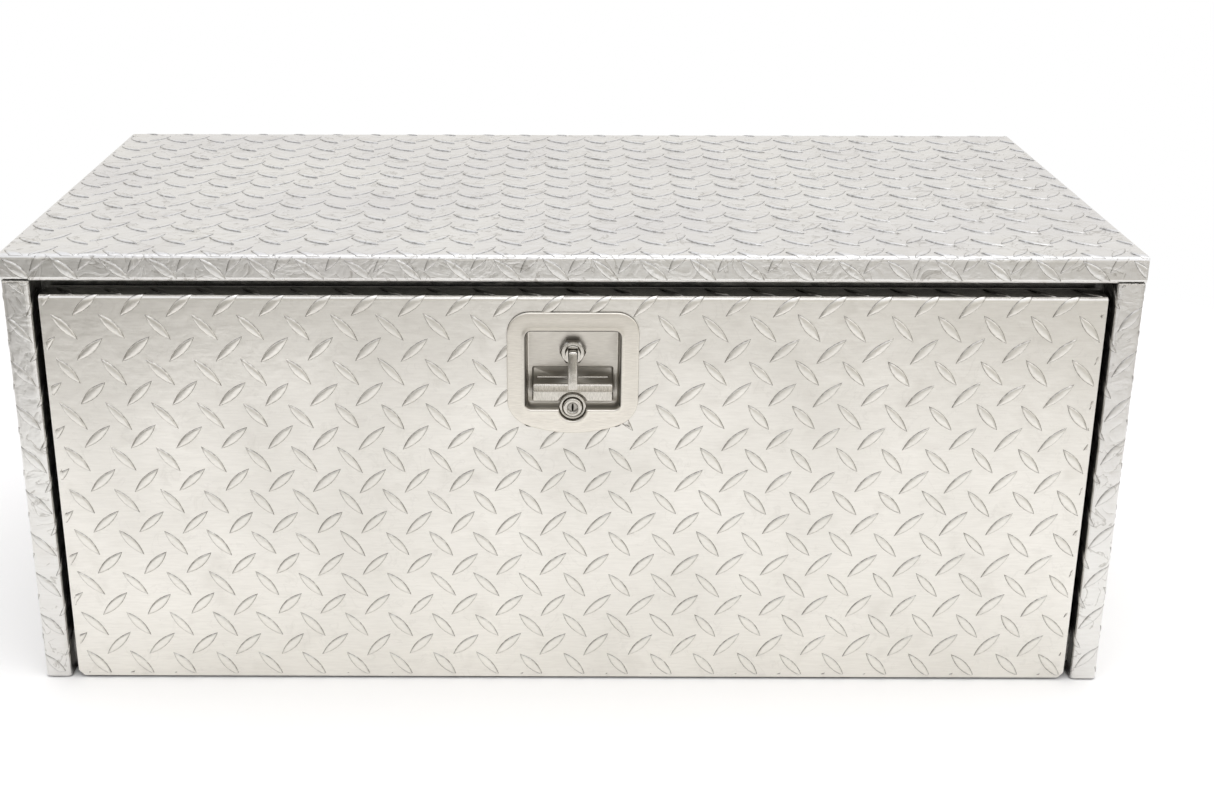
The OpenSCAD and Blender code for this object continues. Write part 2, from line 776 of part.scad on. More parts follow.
body_wrap();
left_end_panel();
right_end_panel();
door_seal();
door_skin();
door_liner();
liner_rivets();
hinge_leaf_body();
hinge_leaf_door();
hinge_pin();
hinge_rivets_body();
hinge_rivets_door();
stay_arm_left();
stay_arm_right();
stay_door_bracket_left();
stay_door_bracket_right();
stay_pivot_left();
stay_pivot_right();
stay_body_bracket_left();
stay_body_bracket_right();
stay_guide_pin_left();
stay_guide_pin_right();
bracket_rivets_door();
bracket_rivets_body();
latch_pan();
latch_gasket();
latch_nuts();
hex_bushing();
bushing_nut();
latch_shaft();
lock_disc();
latch_cam();
cam_nut();
t_handle();
fold_pin();
lock_housing();
lock_nut();
lock_plug();
lock_pawl();
pawl_screw();
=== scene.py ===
# %% [markdown]
# # An underbody truck tool box in aluminium tread plate
#
# The box is a folded wrap of tread plate, two welded end panels, and a door that drops down on a
# piano hinge at its foot, held shut by a folding T-handle latch. The sheet metal, hinge, stays and
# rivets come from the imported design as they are. This lesson adds what a design file leaves out:
# the raised lugs of the plate, the pressed latch dish, the forged handle, the welds, the rubber
# seal, and the finish of every surface.

import json
import math

import bmesh
import bpy
from mathutils import Matrix, Vector


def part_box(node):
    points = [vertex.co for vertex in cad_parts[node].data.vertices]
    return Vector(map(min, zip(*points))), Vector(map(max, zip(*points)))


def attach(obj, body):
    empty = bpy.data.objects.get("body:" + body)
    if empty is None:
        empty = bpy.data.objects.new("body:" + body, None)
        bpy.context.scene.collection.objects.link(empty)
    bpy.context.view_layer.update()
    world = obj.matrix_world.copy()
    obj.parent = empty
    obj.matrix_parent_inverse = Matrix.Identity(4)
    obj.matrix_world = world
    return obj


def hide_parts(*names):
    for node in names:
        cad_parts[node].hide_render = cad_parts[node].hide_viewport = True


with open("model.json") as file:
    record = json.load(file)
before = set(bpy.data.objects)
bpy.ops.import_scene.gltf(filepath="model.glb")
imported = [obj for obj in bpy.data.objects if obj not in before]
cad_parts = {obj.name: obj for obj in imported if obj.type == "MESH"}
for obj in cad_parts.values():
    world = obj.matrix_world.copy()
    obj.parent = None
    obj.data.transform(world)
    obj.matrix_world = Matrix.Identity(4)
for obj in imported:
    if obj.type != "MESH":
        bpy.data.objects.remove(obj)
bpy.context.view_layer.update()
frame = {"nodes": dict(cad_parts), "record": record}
nodes = frame["nodes"]

# %% [markdown]
# Drawings of sheet metal are in millimetres, measured from the face of the frame. Here x is across
# the box from its middle, y is depth behind the frame's face, and z is height above the ground.
# One function turns such a measure into a place in the scene, and another adds an object to it.

# %% Millimetres from the frame's face
MM = 0.001
wrap_low, wrap_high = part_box("body_wrap")
BOX_HALF = wrap_high[0] / MM
BOX_HIGH = wrap_high[2] / MM
FACE_Y = wrap_low[1] / MM
BOX_DEEP = wrap_high[1] / MM - FACE_Y


def spot(x, y, z):
    """The place of a point x across, y behind the frame's face and z up, all in millimetres."""
    return Vector((x * MM, (y + FACE_Y) * MM, z * MM))


def placed(name, data):
    """A new object in the scene, at the origin."""
    thing = bpy.data.objects.new(name, data)
    bpy.context.collection.objects.link(thing)
    return thing


print("half width %.1f, depth %.1f, height %.1f mm" % (BOX_HALF, BOX_DEEP, BOX_HIGH))

# %% [markdown]
# The camera stands a little above the box and looks down at it, as one does at a box on a low
# bench. Its axes are worked out from a pitch and a very small roll.

# %% Camera
LENS = 49.53
PITCH, ROLL = -20.24, -0.153
EYE = (-0.0120, -1.5020, 0.7506)

turn = Matrix.Rotation(math.radians(PITCH), 3, "X") @ Matrix.Rotation(math.radians(ROLL), 3, "Y")
right, ahead, up = turn.col[0], turn.col[1], turn.col[2]
axes = Matrix((right, up, -ahead)).transposed()
camera_data = bpy.data.cameras.new("camera")
camera_data.lens = LENS
camera_data.sensor_width = 36
camera_data.shift_x = 0.0403
camera_data.shift_y = -0.0244
camera_data.clip_end = 60
camera = placed("camera", camera_data)
camera.matrix_world = Matrix.Translation(EYE) @ axes.to_4x4()
bpy.context.scene.camera = camera
print("camera at", EYE, "lens", LENS)

# %% [markdown]
# Every finish below is a small graph of nodes. One function adds a node with its settings and its
# wires, and another turns a colour from a paint chart's sRGB hex value into the linear light that
# the renderer works in.

# %% Node and colour helpers
MIX_A, MIX_B, MIX_OUT = 6, 7, 2  # the colour sockets of a Mix node
RGBA = {"data_type": "RGBA"}
MULTIPLY, MULTIPLY_ADD = {"operation": "MULTIPLY"}, {"operation": "MULTIPLY_ADD"}
ADD, SUBTRACT = {"operation": "ADD"}, {"operation": "SUBTRACT"}


def put(tree, kind, settings=None, wires=None, out=None):
    """Adds a node, and returns it or one of its outputs. A wire is a socket, or a value for an input."""
    node = tree.nodes.new(kind)
    for name, value in (settings or {}).items():
        setattr(node, name, value)
    for name, value in (wires or {}).items():
        if isinstance(value, bpy.types.NodeSocket):
            tree.links.new(value, node.inputs[name])
        else:
            node.inputs[name].default_value = value
    return node if out is None else node.outputs[out]


def linear(hex_colour):
    """An sRGB hex colour as linear RGBA."""
    parts = [int(hex_colour[i:i + 2], 16) / 255 for i in (1, 3, 5)]
    return tuple(p / 12.92 if p <= 0.04045 else ((p + 0.055) / 1.055) ** 2.4 for p in parts) + (1,)


print("white card reads", [round(v, 3) for v in linear("#F2F1EE")])

# %% [markdown]
# The studio is a white sweep with soft light from all round. A metal surface shows nothing but what
# it mirrors, so the light room is bright overhead, greyer towards the horizon and on the left, and
# darkest below the horizon in front. The plate then has soft gradients, and each small raised edge
# picks up a darker or lighter part of the room. Direct views of the room are plain white.

# %% Floor and light room
SWEEP_RADIUS, SWEEP_DROP = 1.25, 0.0014  # metres; the drop leaves room for the lugs of the base
FLAG_WAY = Vector((-0.62, -0.68, -0.36)).normalized()


def make_floor():
    """A wide plain disc just under the lugs of the box's base."""
    mesh = bpy.data.meshes.new("studio_floor")
    rim = [(SWEEP_RADIUS * math.cos(a), SWEEP_RADIUS * math.sin(a), -SWEEP_DROP)
           for a in (math.tau * i / 96 for i in range(96))]
    mesh.from_pydata(rim, [], [tuple(range(96))])
    floor = placed("studio_floor", mesh)
    paper = bpy.data.materials.new("white_paper_sweep")
    paper.use_nodes = True
    tree = paper.node_tree
    shader = tree.nodes["Principled BSDF"]
    place = put(tree, "ShaderNodeTexCoord", out="Object")
    fibre = put(tree, "ShaderNodeTexNoise", None, {"Vector": place, "Scale": 900.0}, "Fac")
    tone = put(tree, "ShaderNodeMix", RGBA, {
        0: fibre, MIX_A: linear("#FCFAF6"), MIX_B: linear("#FDFCF9")}, MIX_OUT)
    tree.links.new(tone, shader.inputs["Base Color"])
    shader.inputs["Roughness"].default_value = 0.9
    mesh.materials.append(paper)


def make_room():
    """World light: brighter with height, with a dark flag standing low at the front left."""
    world = bpy.data.worlds.new("light_room")
    world.use_nodes = True
    bpy.context.scene.world = world
    tree = world.node_tree
    tree.nodes.clear()
    direction = put(tree, "ShaderNodeTexCoord", out="Generated")
    rise = put(tree, "ShaderNodeSeparateXYZ", None, {"Vector": direction}, "Z")
    height = put(tree, "ShaderNodeMapRange", {"interpolation_type": "SMOOTHSTEP"}, {
        "Value": rise, "From Min": -0.25, "From Max": 0.5, "To Min": 0.58, "To Max": 1.12}, "Result")
    toward_flag = put(tree, "ShaderNodeVectorMath", {"operation": "DOT_PRODUCT"}, {
        0: direction, 1: FLAG_WAY}, "Value")
    flag = put(tree, "ShaderNodeMapRange", {"interpolation_type": "SMOOTHSTEP"}, {
        "Value": toward_flag, "From Min": 0.55, "From Max": 1.0, "To Min": 1.0, "To Max": 0.45}, "Result")
    level = put(tree, "ShaderNodeMath", MULTIPLY, {0: height, 1: flag}, 0)
    cool = put(tree, "ShaderNodeMapRange", None, {
        "Value": rise, "From Min": 0.1, "From Max": 0.7, "To Min": 0.0, "To Max": 1.0}, "Result")
    tint = put(tree, "ShaderNodeMix", RGBA, {
        0: cool, MIX_A: linear("#FFFBF4"), MIX_B: linear("#F6F8FF")}, MIX_OUT)
    camera_ray = put(tree, "ShaderNodeLightPath", out="Is Camera Ray")
    room = put(tree, "ShaderNodeBackground", None, {"Color": tint, "Strength": level}, 0)
    plain = put(tree, "ShaderNodeBackground", None, {"Color": (1, 1, 1, 1), "Strength": 1.0}, 0)
    seen = put(tree, "ShaderNodeMixShader", None, {0: camera_ray, 1: room, 2: plain}, 0)
    put(tree, "ShaderNodeOutputWorld", None, {"Surface": seen})


def soft_light(name, place, aim, size, watts):
    """A square softbox that faces a point."""
    data = bpy.data.lights.new(name, "AREA")
    data.shape, data.size, data.energy = "SQUARE", size, watts
    lamp = placed(name, data)
    lamp.location = place
    lamp.rotation_euler = (Vector(aim) - Vector(place)).to_track_quat("-Z", "Y").to_euler()


make_floor()
make_room()
soft_light("softbox_over", (0.3, -0.5, 2.4), (0, 0, 0.2), 1.8, 14)
soft_light("softbox_right", (2.4, -1.6, 1.5), (0, -0.2, 0.2), 1.6, 5)
bpy.context.scene.view_settings.view_transform = "Standard"
print("studio ready")

# %% [markdown]
# Every finish is told as a table, so that each can be read like a recipe. First come its patterns:
# noises named for what they stand for, each with the size of its grain in millimetres, how far it
# is drawn out along each axis, and its detail. Then its coats, laid one over the other: where a
# pattern goes from one value to another, the coat's cover goes from so much to so much, in its own
# colour. Last comes its relief, the bumps that break up a reflection. Two more patterns are always
# there, and both carry painted shade: corner is open space, which is low in gaps, corners and
# hollows, and foot is an attribute that some pieces carry on their points, to paint shade at the
# foot of a lug, in a pressed dish, on a boss and in a keyway.

# %% Patterns, coats and relief
EVEN = (1, 1, 1)


def finish(name, roughness, patterns, metallic=1.0, corner_mm=6):
    """A new material, and its patterns by name."""
    material = bpy.data.materials.new(name)
    material.use_nodes = True
    tree = material.node_tree
    shader = tree.nodes["Principled BSDF"]
    shader.inputs["Metallic"].default_value = metallic
    shader.inputs["Roughness"].default_value = roughness
    place = put(tree, "ShaderNodeTexCoord", out="Object")
    # foot and corner carry painted shade: foot is a per-point attribute, corner is occlusion, low in gaps
    # and hollows.
    seen = {
        "place": place,
        "foot": put(tree, "ShaderNodeAttribute", {"attribute_name": "painted_shade"}, out="Fac"),
        "corner": put(tree, "ShaderNodeAmbientOcclusion", {"samples": 8}, {
            "Distance": corner_mm * MM}, "AO")}
    for word, (grain_mm, stretch, detail) in patterns.items():
        drawn_out = put(tree, "ShaderNodeMapping", {"vector_type": "POINT"}, {
            "Vector": place, "Scale": stretch}, 0)
        seen[word] = put(tree, "ShaderNodeTexNoise", None, {
            "Vector": drawn_out, "Scale": 1 / (grain_mm * MM), "Detail": detail}, "Fac")
    return material, tree, seen


def dress(tree, seen, base, coats, reliefs, rough=None):
    """Lays coats over the base colour and chains the reliefs, each a strength and a depth in mm."""
    shader = tree.nodes["Principled BSDF"]
    tone = linear(base)
    for word, low, high, least, most, colour in coats:
        cover = put(tree, "ShaderNodeMapRange", None, {
            "Value": seen[word], "From Min": low, "From Max": high,
            "To Min": least, "To Max": most}, "Result")
        tone = put(tree, "ShaderNodeMix", RGBA, {0: cover, MIX_A: tone, MIX_B: linear(colour)}, MIX_OUT)
    tree.links.new(tone, shader.inputs["Base Color"])
    if rough:
        word, low, high, least, most = rough
        worn = put(tree, "ShaderNodeMapRange", None, {
            "Value": seen[word], "From Min": low, "From Max": high,
            "To Min": least, "To Max": most}, "Result")
        tree.links.new(worn, shader.inputs["Roughness"])
    normal = {}
    for word, strength, depth_mm in reliefs:
        normal = {"Normal": put(tree, "ShaderNodeBump", None, {
            "Strength": strength, "Distance": depth_mm * MM, "Height": seen[word], **normal}, 0)}
    tree.links.new(normal["Normal"], shader.inputs["Normal"])


print("a finish has patterns, coats and relief")

# %% [markdown]
# Tread plate is hot rolled aluminium with its bright skin left on: pale and a little warm, with a
# very fine grain along the rolling direction, faint clouds of duller metal, and a slightly rippled
# face that breaks reflections up. Shade is painted round the foot of each lug, and in gaps and deep
# corners. The plate comes in two finishes. The door is flat and clean. The wrap and the ends were
# bent and welded, and their skin is crinkled all over with fine broken creases, which are drawn
# where a wavy noise crosses its middle value.

# %% Tread plate finish
def tread_plate_aluminium(name, light, dark, crinkle, lug_shade):
    """Tread plate whose skin is crinkled by so much, with so much shade painted at its lugs' feet."""
    material, tree, seen = finish(name, 0.34, {
        "cloud": (120, EVEN, 3.0), "grain": (1.4, (0.12, 1, 1), 3.0), "rub": (26, (1, 0.6, 1), 4.0),
        "patch": (3.5, EVEN, 3.0), "gap": (17, EVEN, 2.0), "ripple": (11, EVEN, 3.0)}, corner_mm=35)
    uneven = put(tree, "ShaderNodeMapRange", None, {
        "Value": seen["patch"], "From Min": 0.3, "From Max": 0.7,
        "To Min": 0.45, "To Max": 1.3}, "Result")
    seen["foot"] = put(tree, "ShaderNodeMath", MULTIPLY, {0: seen["foot"], 1: uneven}, 0)
    wave = put(tree, "ShaderNodeTexNoise", None, {
        "Vector": seen["place"], "Scale": 1 / (26 * MM), "Detail": 5.0, "Distortion": 1.4}, "Fac")
    off_middle = put(tree, "ShaderNodeMath", SUBTRACT, {0: wave, 1: 0.5}, 0)
    fold = put(tree, "ShaderNodeMath", {"operation": "ABSOLUTE"}, {0: off_middle}, 0)
    broken = put(tree, "ShaderNodeMapRange", None, {
        "Value": seen["gap"], "From Min": 0.46, "From Max": 0.56,
        "To Min": 0.0, "To Max": 0.05}, "Result")
    seen["crease"] = put(tree, "ShaderNodeMath", ADD, {0: fold, 1: broken}, 0)
    # The last two coats are painted shade: dark at the lugs' feet, broken up by a noise, and near black in
    # gaps and deep corners.
    dress(tree, seen, light, [
        ("cloud", 0.3, 0.7, 0, 1, dark), ("rub", 0.56, 0.75, 0, 0.35, "#CFCBC3"),
        ("grain", 0.35, 0.8, 0, 0.22, "#C4C0B8"), ("crease", 0, 0.024, crinkle, 0, "#8A857B"),
        ("foot", 0, 1, 0, lug_shade, "#4B463E"), ("corner", 0.06, 0.44, 0.97, 0, "#14130F")],
        [("ripple", 0.5, 0.4), ("crease", crinkle, 2.2), ("grain", 0.25, 0.1)],
        ("cloud", 0.3, 0.7, 0.28, 0.38))
    return material


tread_flat = tread_plate_aluminium("tread_plate_aluminium_mill_bright", "#ECE9E2", "#E3E0D9", 0.08, 0.86)
tread_bent = tread_plate_aluminium("tread_plate_aluminium_bent_skin", "#E7E6E2", "#DDDBD8", 0.5, 0.76)
print("made", tread_flat.name, tread_bent.name)

# %% [markdown]
# The other metals. The latch dish is pressed stainless with a satin finish, whose fine brush marks
# run across. The handle, boss and lock are brighter, polished stainless. Hinge, stays and nuts are
# plainer: brushed stainless, sheared mild steel with zinc, and mill-finish aluminium sheet. A TIG
# bead is bright and finely frosted. One recipe serves them all, because they differ only in colour,
# gloss, and the size and direction of their marks.

# %% Other metal finishes
def brushed_metal(name, light, dark, roughness, grain_mm, stretch, bump=0.3):
    """A metal whose brush marks run along the axis with the small stretch."""
    material, tree, seen = finish(name, roughness, {
        "marks": (grain_mm, stretch, 4.0), "cloud": (30, EVEN, 2.0)})
    # The last two coats are painted shade: from the per-point attribute, and dark in corners and gaps.
    dress(tree, seen, light, [
        ("marks", 0.3, 0.7, 0, 1, dark), ("cloud", 0.45, 0.8, 0, 0.25, dark),
        ("foot", 0, 1, 0, 0.9, "#3A3630"), ("corner", 0.22, 0.6, 0.88, 0, "#2B2822")],
        [("marks", bump, 0.06)], ("marks", 0.2, 0.8, roughness * 0.8, roughness * 1.25))
    return material


satin = brushed_metal("stainless_satin_pressed", "#EAE5DB", "#DBD6CC", 0.33, 0.5, (0.08, 1, 1), 0.15)
polished = brushed_metal("stainless_polished_forged", "#D8D4CC", "#B9B5AC", 0.17, 0.7, (1, 1, 0.2), 0.2)
hinge_steel = brushed_metal("stainless_hinge_brushed", "#C9C7C2", "#A6A49E", 0.3, 0.6, (0.06, 1, 1))
sheet_metal = brushed_metal("aluminium_sheet_mill_finish", "#DEDCD7", "#C6C4BF", 0.42, 0.9, (0.05, 1, 1))
rivet_metal = brushed_metal("aluminium_rivet_drawn", "#DAD8D3", "#BCBAB5", 0.28, 0.8, EVEN)
arm_steel = brushed_metal("steel_flat_bar_bright_zinc", "#C5C8CB", "#9DA1A5", 0.32, 0.8, (1, 1, 0.08))
bead_metal = brushed_metal("aluminium_tig_bead", "#E0DDD7", "#B5B1AA", 0.3, 2.0, EVEN, 0.4)
metals = (satin, polished, hinge_steel, sheet_metal, rivet_metal, arm_steel, bead_metal)
print("made", [metal.name for metal in metals])

# %% [markdown]
# Bright zinc plating on nuts and the cam is a crystalline coat with a faint blue and yellow cast.
# The crystals are cells of a Voronoi pattern, drawn about a millimetre across so that they show.
# The seal is extruded EPDM rubber: near black, matt and finely pored, with a chalky bloom.

# %% Zinc and rubber
zinc, zinc_nodes, zinc_seen = finish("steel_bright_zinc_plated", 0.3, {"cast": (6, EVEN, 2.0)})
zinc_seen["spangle"] = put(zinc_nodes, "ShaderNodeTexVoronoi", None, {
    "Vector": zinc_seen["place"], "Scale": 1 / (1.2 * MM)}, "Distance")
# The last two coats are painted shade: from the per-point attribute, and darker in corners and gaps.
dress(zinc_nodes, zinc_seen, "#C9CDD2", [
    ("cast", 0.35, 0.65, 0, 1, "#CFCBB8"), ("spangle", 0, 0.9, 0, 0.35, "#8F949A"),
    ("foot", 0, 1, 0, 0.9, "#3A3630"), ("corner", 0.1, 0.5, 0.5, 0, "#4A4B4A")],
    [("spangle", 0.25, 0.05)])

rubber, rubber_nodes, rubber_seen = finish("EPDM_rubber_extruded_black", 0.62, {
    "bloom": (14, EVEN, 4.0), "pore": (0.7, EVEN, 2.0)}, metallic=0.0)
# The last two coats are painted shade: from the per-point attribute, and darker in corners and gaps.
dress(rubber_nodes, rubber_seen, "#17171A", [
    ("bloom", 0.4, 0.75, 0, 0.6, "#2E2E2F"), ("foot", 0, 1, 0, 0.9, "#0C0C0D"),
    ("corner", 0.1, 0.5, 0.6, 0, "#0C0C0D")], [("pore", 0.4, 0.1)])
print("made", zinc.name, rubber.name)

# %% [markdown]
# The sheet metal, hinge, stays and fixings are right as they were designed, so they stay, and only
# take their finishes. The design names a material slot for each, and a table gives each slot its
# finish. The door's skin is tread plate too, but the flat and clean kind.

# %% Finishes for the design's own nodes
SLOT_FINISH = {
    "tread_plate": tread_bent, "liner_sheet": sheet_metal, "seal_rubber": rubber,
    "rivet_aluminium": rivet_metal, "hinge_stainless": hinge_steel, "stay_steel": arm_steel,
    "zinc_hardware": zinc, "latch_stainless": satin, "latch_polished": polished,
}
slot_of = {part["node"]: part["material_slot"] for part in frame["record"]["subparts"]}
for name, node in nodes.items():
    node.data.materials.clear()
    node.data.materials.append(tread_flat if name == "door_skin" else SLOT_FINISH[slot_of[name]])
print({name: slot_of[name] for name in sorted(nodes)})

# %% [markdown]
# Each sheet is one flat blank folded on a press brake, and the rolled pattern was on it before the
# folds. So the lugs are laid out flat, trimmed to the blank, and then carried round the folds: a
# point at a distance along the blank and a height off it goes to the folded face, where an outside
# fold has the radius of the sheet's outer skin and an inside fold that of its inner skin.

# %% A folded face
OUTER_FOLD, INNER_FOLD = 4.0, 1.5
FLATTENED, FLATTENED_REACH = 0.6, 5  # a fold presses lugs down by this share, this near in mm


class FoldedFace:
    """The outer face of a sheet, along a path of corners in one plane. The metal is on its right."""

    def __init__(self, path):
        corners = [Vector(p) for p in path]
        self.runs = []  # (start, length, place, direction, signed radius or 0)
        self.marks = [0.0]  # the distance along the blank at each corner of the path
        here, at = corners[0], 0.0
        for i in range(1, len(corners)):
            ahead_dir = (corners[i] - corners[i - 1]).normalized()
            end, radius = corners[i], 0.0
            if i < len(corners) - 1:
                next_dir = (corners[i + 1] - corners[i]).normalized()
                left_turn = ahead_dir.cross(next_dir) > 0
                radius = INNER_FOLD if left_turn else -OUTER_FOLD
                end = corners[i] - ahead_dir * abs(radius)
            straight = (end - here).length
            self.runs.append((at, straight, here, ahead_dir, 0.0))
            at += straight
            if radius:
                arc = math.pi / 2 * abs(radius)
                self.runs.append((at, arc, end, ahead_dir, radius))
                self.marks.append(at + arc / 2)
                at += arc
                here = corners[i] + next_dir * abs(radius)
        self.marks.append(at)
        self.length = at

    def place(self, along, height):
        """Where a point of the blank goes in the plane of the path."""
        near = min((abs(along - m) for m in self.marks[1:-1]), default=99)
        height *= 1 - FLATTENED * math.exp(-(near / FLATTENED_REACH) ** 2)
        run = next((r for r in self.runs if along <= r[0] + r[1]), self.runs[-1])
        start, _, here, direction, radius = run
        left = Vector((-direction.y, direction.x))
        if not radius:
            return here + direction * (along - start) + left * height
        centre = here + left * radius
        swing = (along - start) / radius
        arm = (here - centre).normalized() * (abs(radius) - height * math.copysign(1, radius))
        return centre + Matrix.Rotation(swing, 2) @ arm

    def folds(self):
        """Distances at the start, middle and end of each fold, where a lug needs an edge."""
        return [start + length * share for start, length, _, _, radius in self.runs if radius
                for share in (0, 0.33, 0.67, 1)]


BAND_FOOT, RETURN_DEEP, FLOOR_START = 358.5, 32, 14
wrap_face = FoldedFace([
    (RETURN_DEEP, BAND_FOOT), (0, BAND_FOOT), (0, BOX_HIGH),
    (BOX_DEEP, BOX_HIGH), (BOX_DEEP, 0), (FLOOR_START, 0)])
print("the wrap's blank is %.0f mm long" % wrap_face.length)

# %% [markdown]
# A lug of tread plate is a lens in outline, about 31 by 8 mm, with pointed tips, steep sides and a
# low crown a bit over 1 mm high. One lug is made as a template from rings of points: the foot just
# under the skin, the top of the steep side, and the crown. It has only a few dozen faces, because
# it is repeated hundreds of times.

# %% The lug
def mesh_piece(name, points, faces, smooth=True):
    """A mesh object from points in millimetres of its own plane."""
    mesh = bpy.data.meshes.new(name)
    mesh.from_pydata([tuple(p) for p in points], [], faces)
    mesh.update()
    for polygon in mesh.polygons:
        polygon.use_smooth = smooth
    return placed(name, mesh)


def ring_faces(count, around, closed=False):
    """Quads between rings of points in turn, and from the last ring to the first if closed."""
    return [(k * around + i, k * around + (i + 1) % around,
             (k + 1) % count * around + (i + 1) % around, (k + 1) % count * around + i)
            for k in range(count if closed else count - 1) for i in range(around)]


def end_caps(count, around):
    """One face over the first ring and one over the last."""
    last = (count - 1) * around
    return [tuple(reversed(range(around))), tuple(range(last, last + around))]


def paint_shade(piece, shades):
    """Writes how much shade is painted at each point into the attribute that the finishes read."""
    layer = piece.data.attributes.new("painted_shade", "FLOAT", "POINT")
    layer.data.foreach_set("value", shades)


def lug_ring(half_length, half_width, height, stops):
    """Points of a lens-shaped ring, from one tip round to the other and back."""
    upper = [(s * half_length, half_width * (1 - abs(s) ** 1.9), height) for s in stops]
    lower = [(x, -y, h) for x, y, h in reversed(upper[1:-1])]
    return upper + lower


# Half length, half width, height over the skin, and shade of each ring, from the foot to the crown.
LUG_RINGS = [
    (15.6, 4.15, -0.25, 1.0), (15.0, 3.85, 0.3, 0.9), (13.8, 3.3, 0.85, 0.25), (11.0, 2.3, 1.08, 0.0)]


def make_lug():
    stops = [1, 0.86, 0.66, 0.36, 0, -0.36, -0.66, -0.86, -1]
    points = [p for long, wide, high, _ in LUG_RINGS for p in lug_ring(long, wide, high, stops)]
    count, around = len(LUG_RINGS), len(points) // len(LUG_RINGS)
    lug = mesh_piece("lug_template", points, ring_faces(count, around) + end_caps(count, around))
    # Painted shade on the lug: darkest at the foot ring, fading to none on the crown, so its steep walls
    # show as thin dark outlines.
    paint_shade(lug, [dark for _, _, _, dark in LUG_RINGS for _ in range(around)])
    fix = bmesh.new()
    fix.from_mesh(lug.data)
    bmesh.ops.recalc_face_normals(fix, faces=fix.faces)
    fix.to_mesh(lug.data)
    fix.free()
    return lug


lug = make_lug()
print("one lug:", len(lug.data.polygons), "faces")

# %% [markdown]
# The pattern is two lattices, one of lugs leaning left and one leaning right, set half a pitch from
# each other both ways. A rule like that is what Geometry Nodes are for: grid points, a small random
# shift and turn for each lug, as worn rolls leave, and the lug instanced on every point. The tree
# ends with the instances made real, so the result is a plain mesh.

# %% The lattice tree
LATTICE_INPUTS = [
    ("Lug", "NodeSocketObject"), ("Finish", "NodeSocketMaterial"),
    ("Columns", "NodeSocketInt"), ("Rows", "NodeSocketInt"),
    ("Pitch across", "NodeSocketFloat"), ("Pitch up", "NodeSocketFloat"),
    ("Start across", "NodeSocketFloat"), ("Start up", "NodeSocketFloat"),
    ("Left lean", "NodeSocketFloat"), ("Right lean", "NodeSocketFloat"),
    ("Right offset up", "NodeSocketFloat"), ("Right height", "NodeSocketFloat"), ("Seed", "NodeSocketInt"),
]
WANDER_MM, LEAN_WANDER = 0.7, 0.05  # how far a lug strays, and how far it turns in radians
LEAST, GREATEST = (0.93, 0.9, 0.85), (1.05, 1.08, 1.1)  # a lug's scale along, across and up
LUG_SHARP = 48  # degrees


def new_tree(name, inputs):
    """An empty geometry tree with named inputs."""
    tree = bpy.data.node_groups.new(name, "GeometryNodeTree")
    tree.is_modifier = True
    tree.interface.new_socket("Geometry", in_out="INPUT", socket_type="NodeSocketGeometry")
    for word, kind in inputs:
        tree.interface.new_socket(word, in_out="INPUT", socket_type=kind)
    tree.interface.new_socket("Geometry", in_out="OUTPUT", socket_type="NodeSocketGeometry")
    return tree


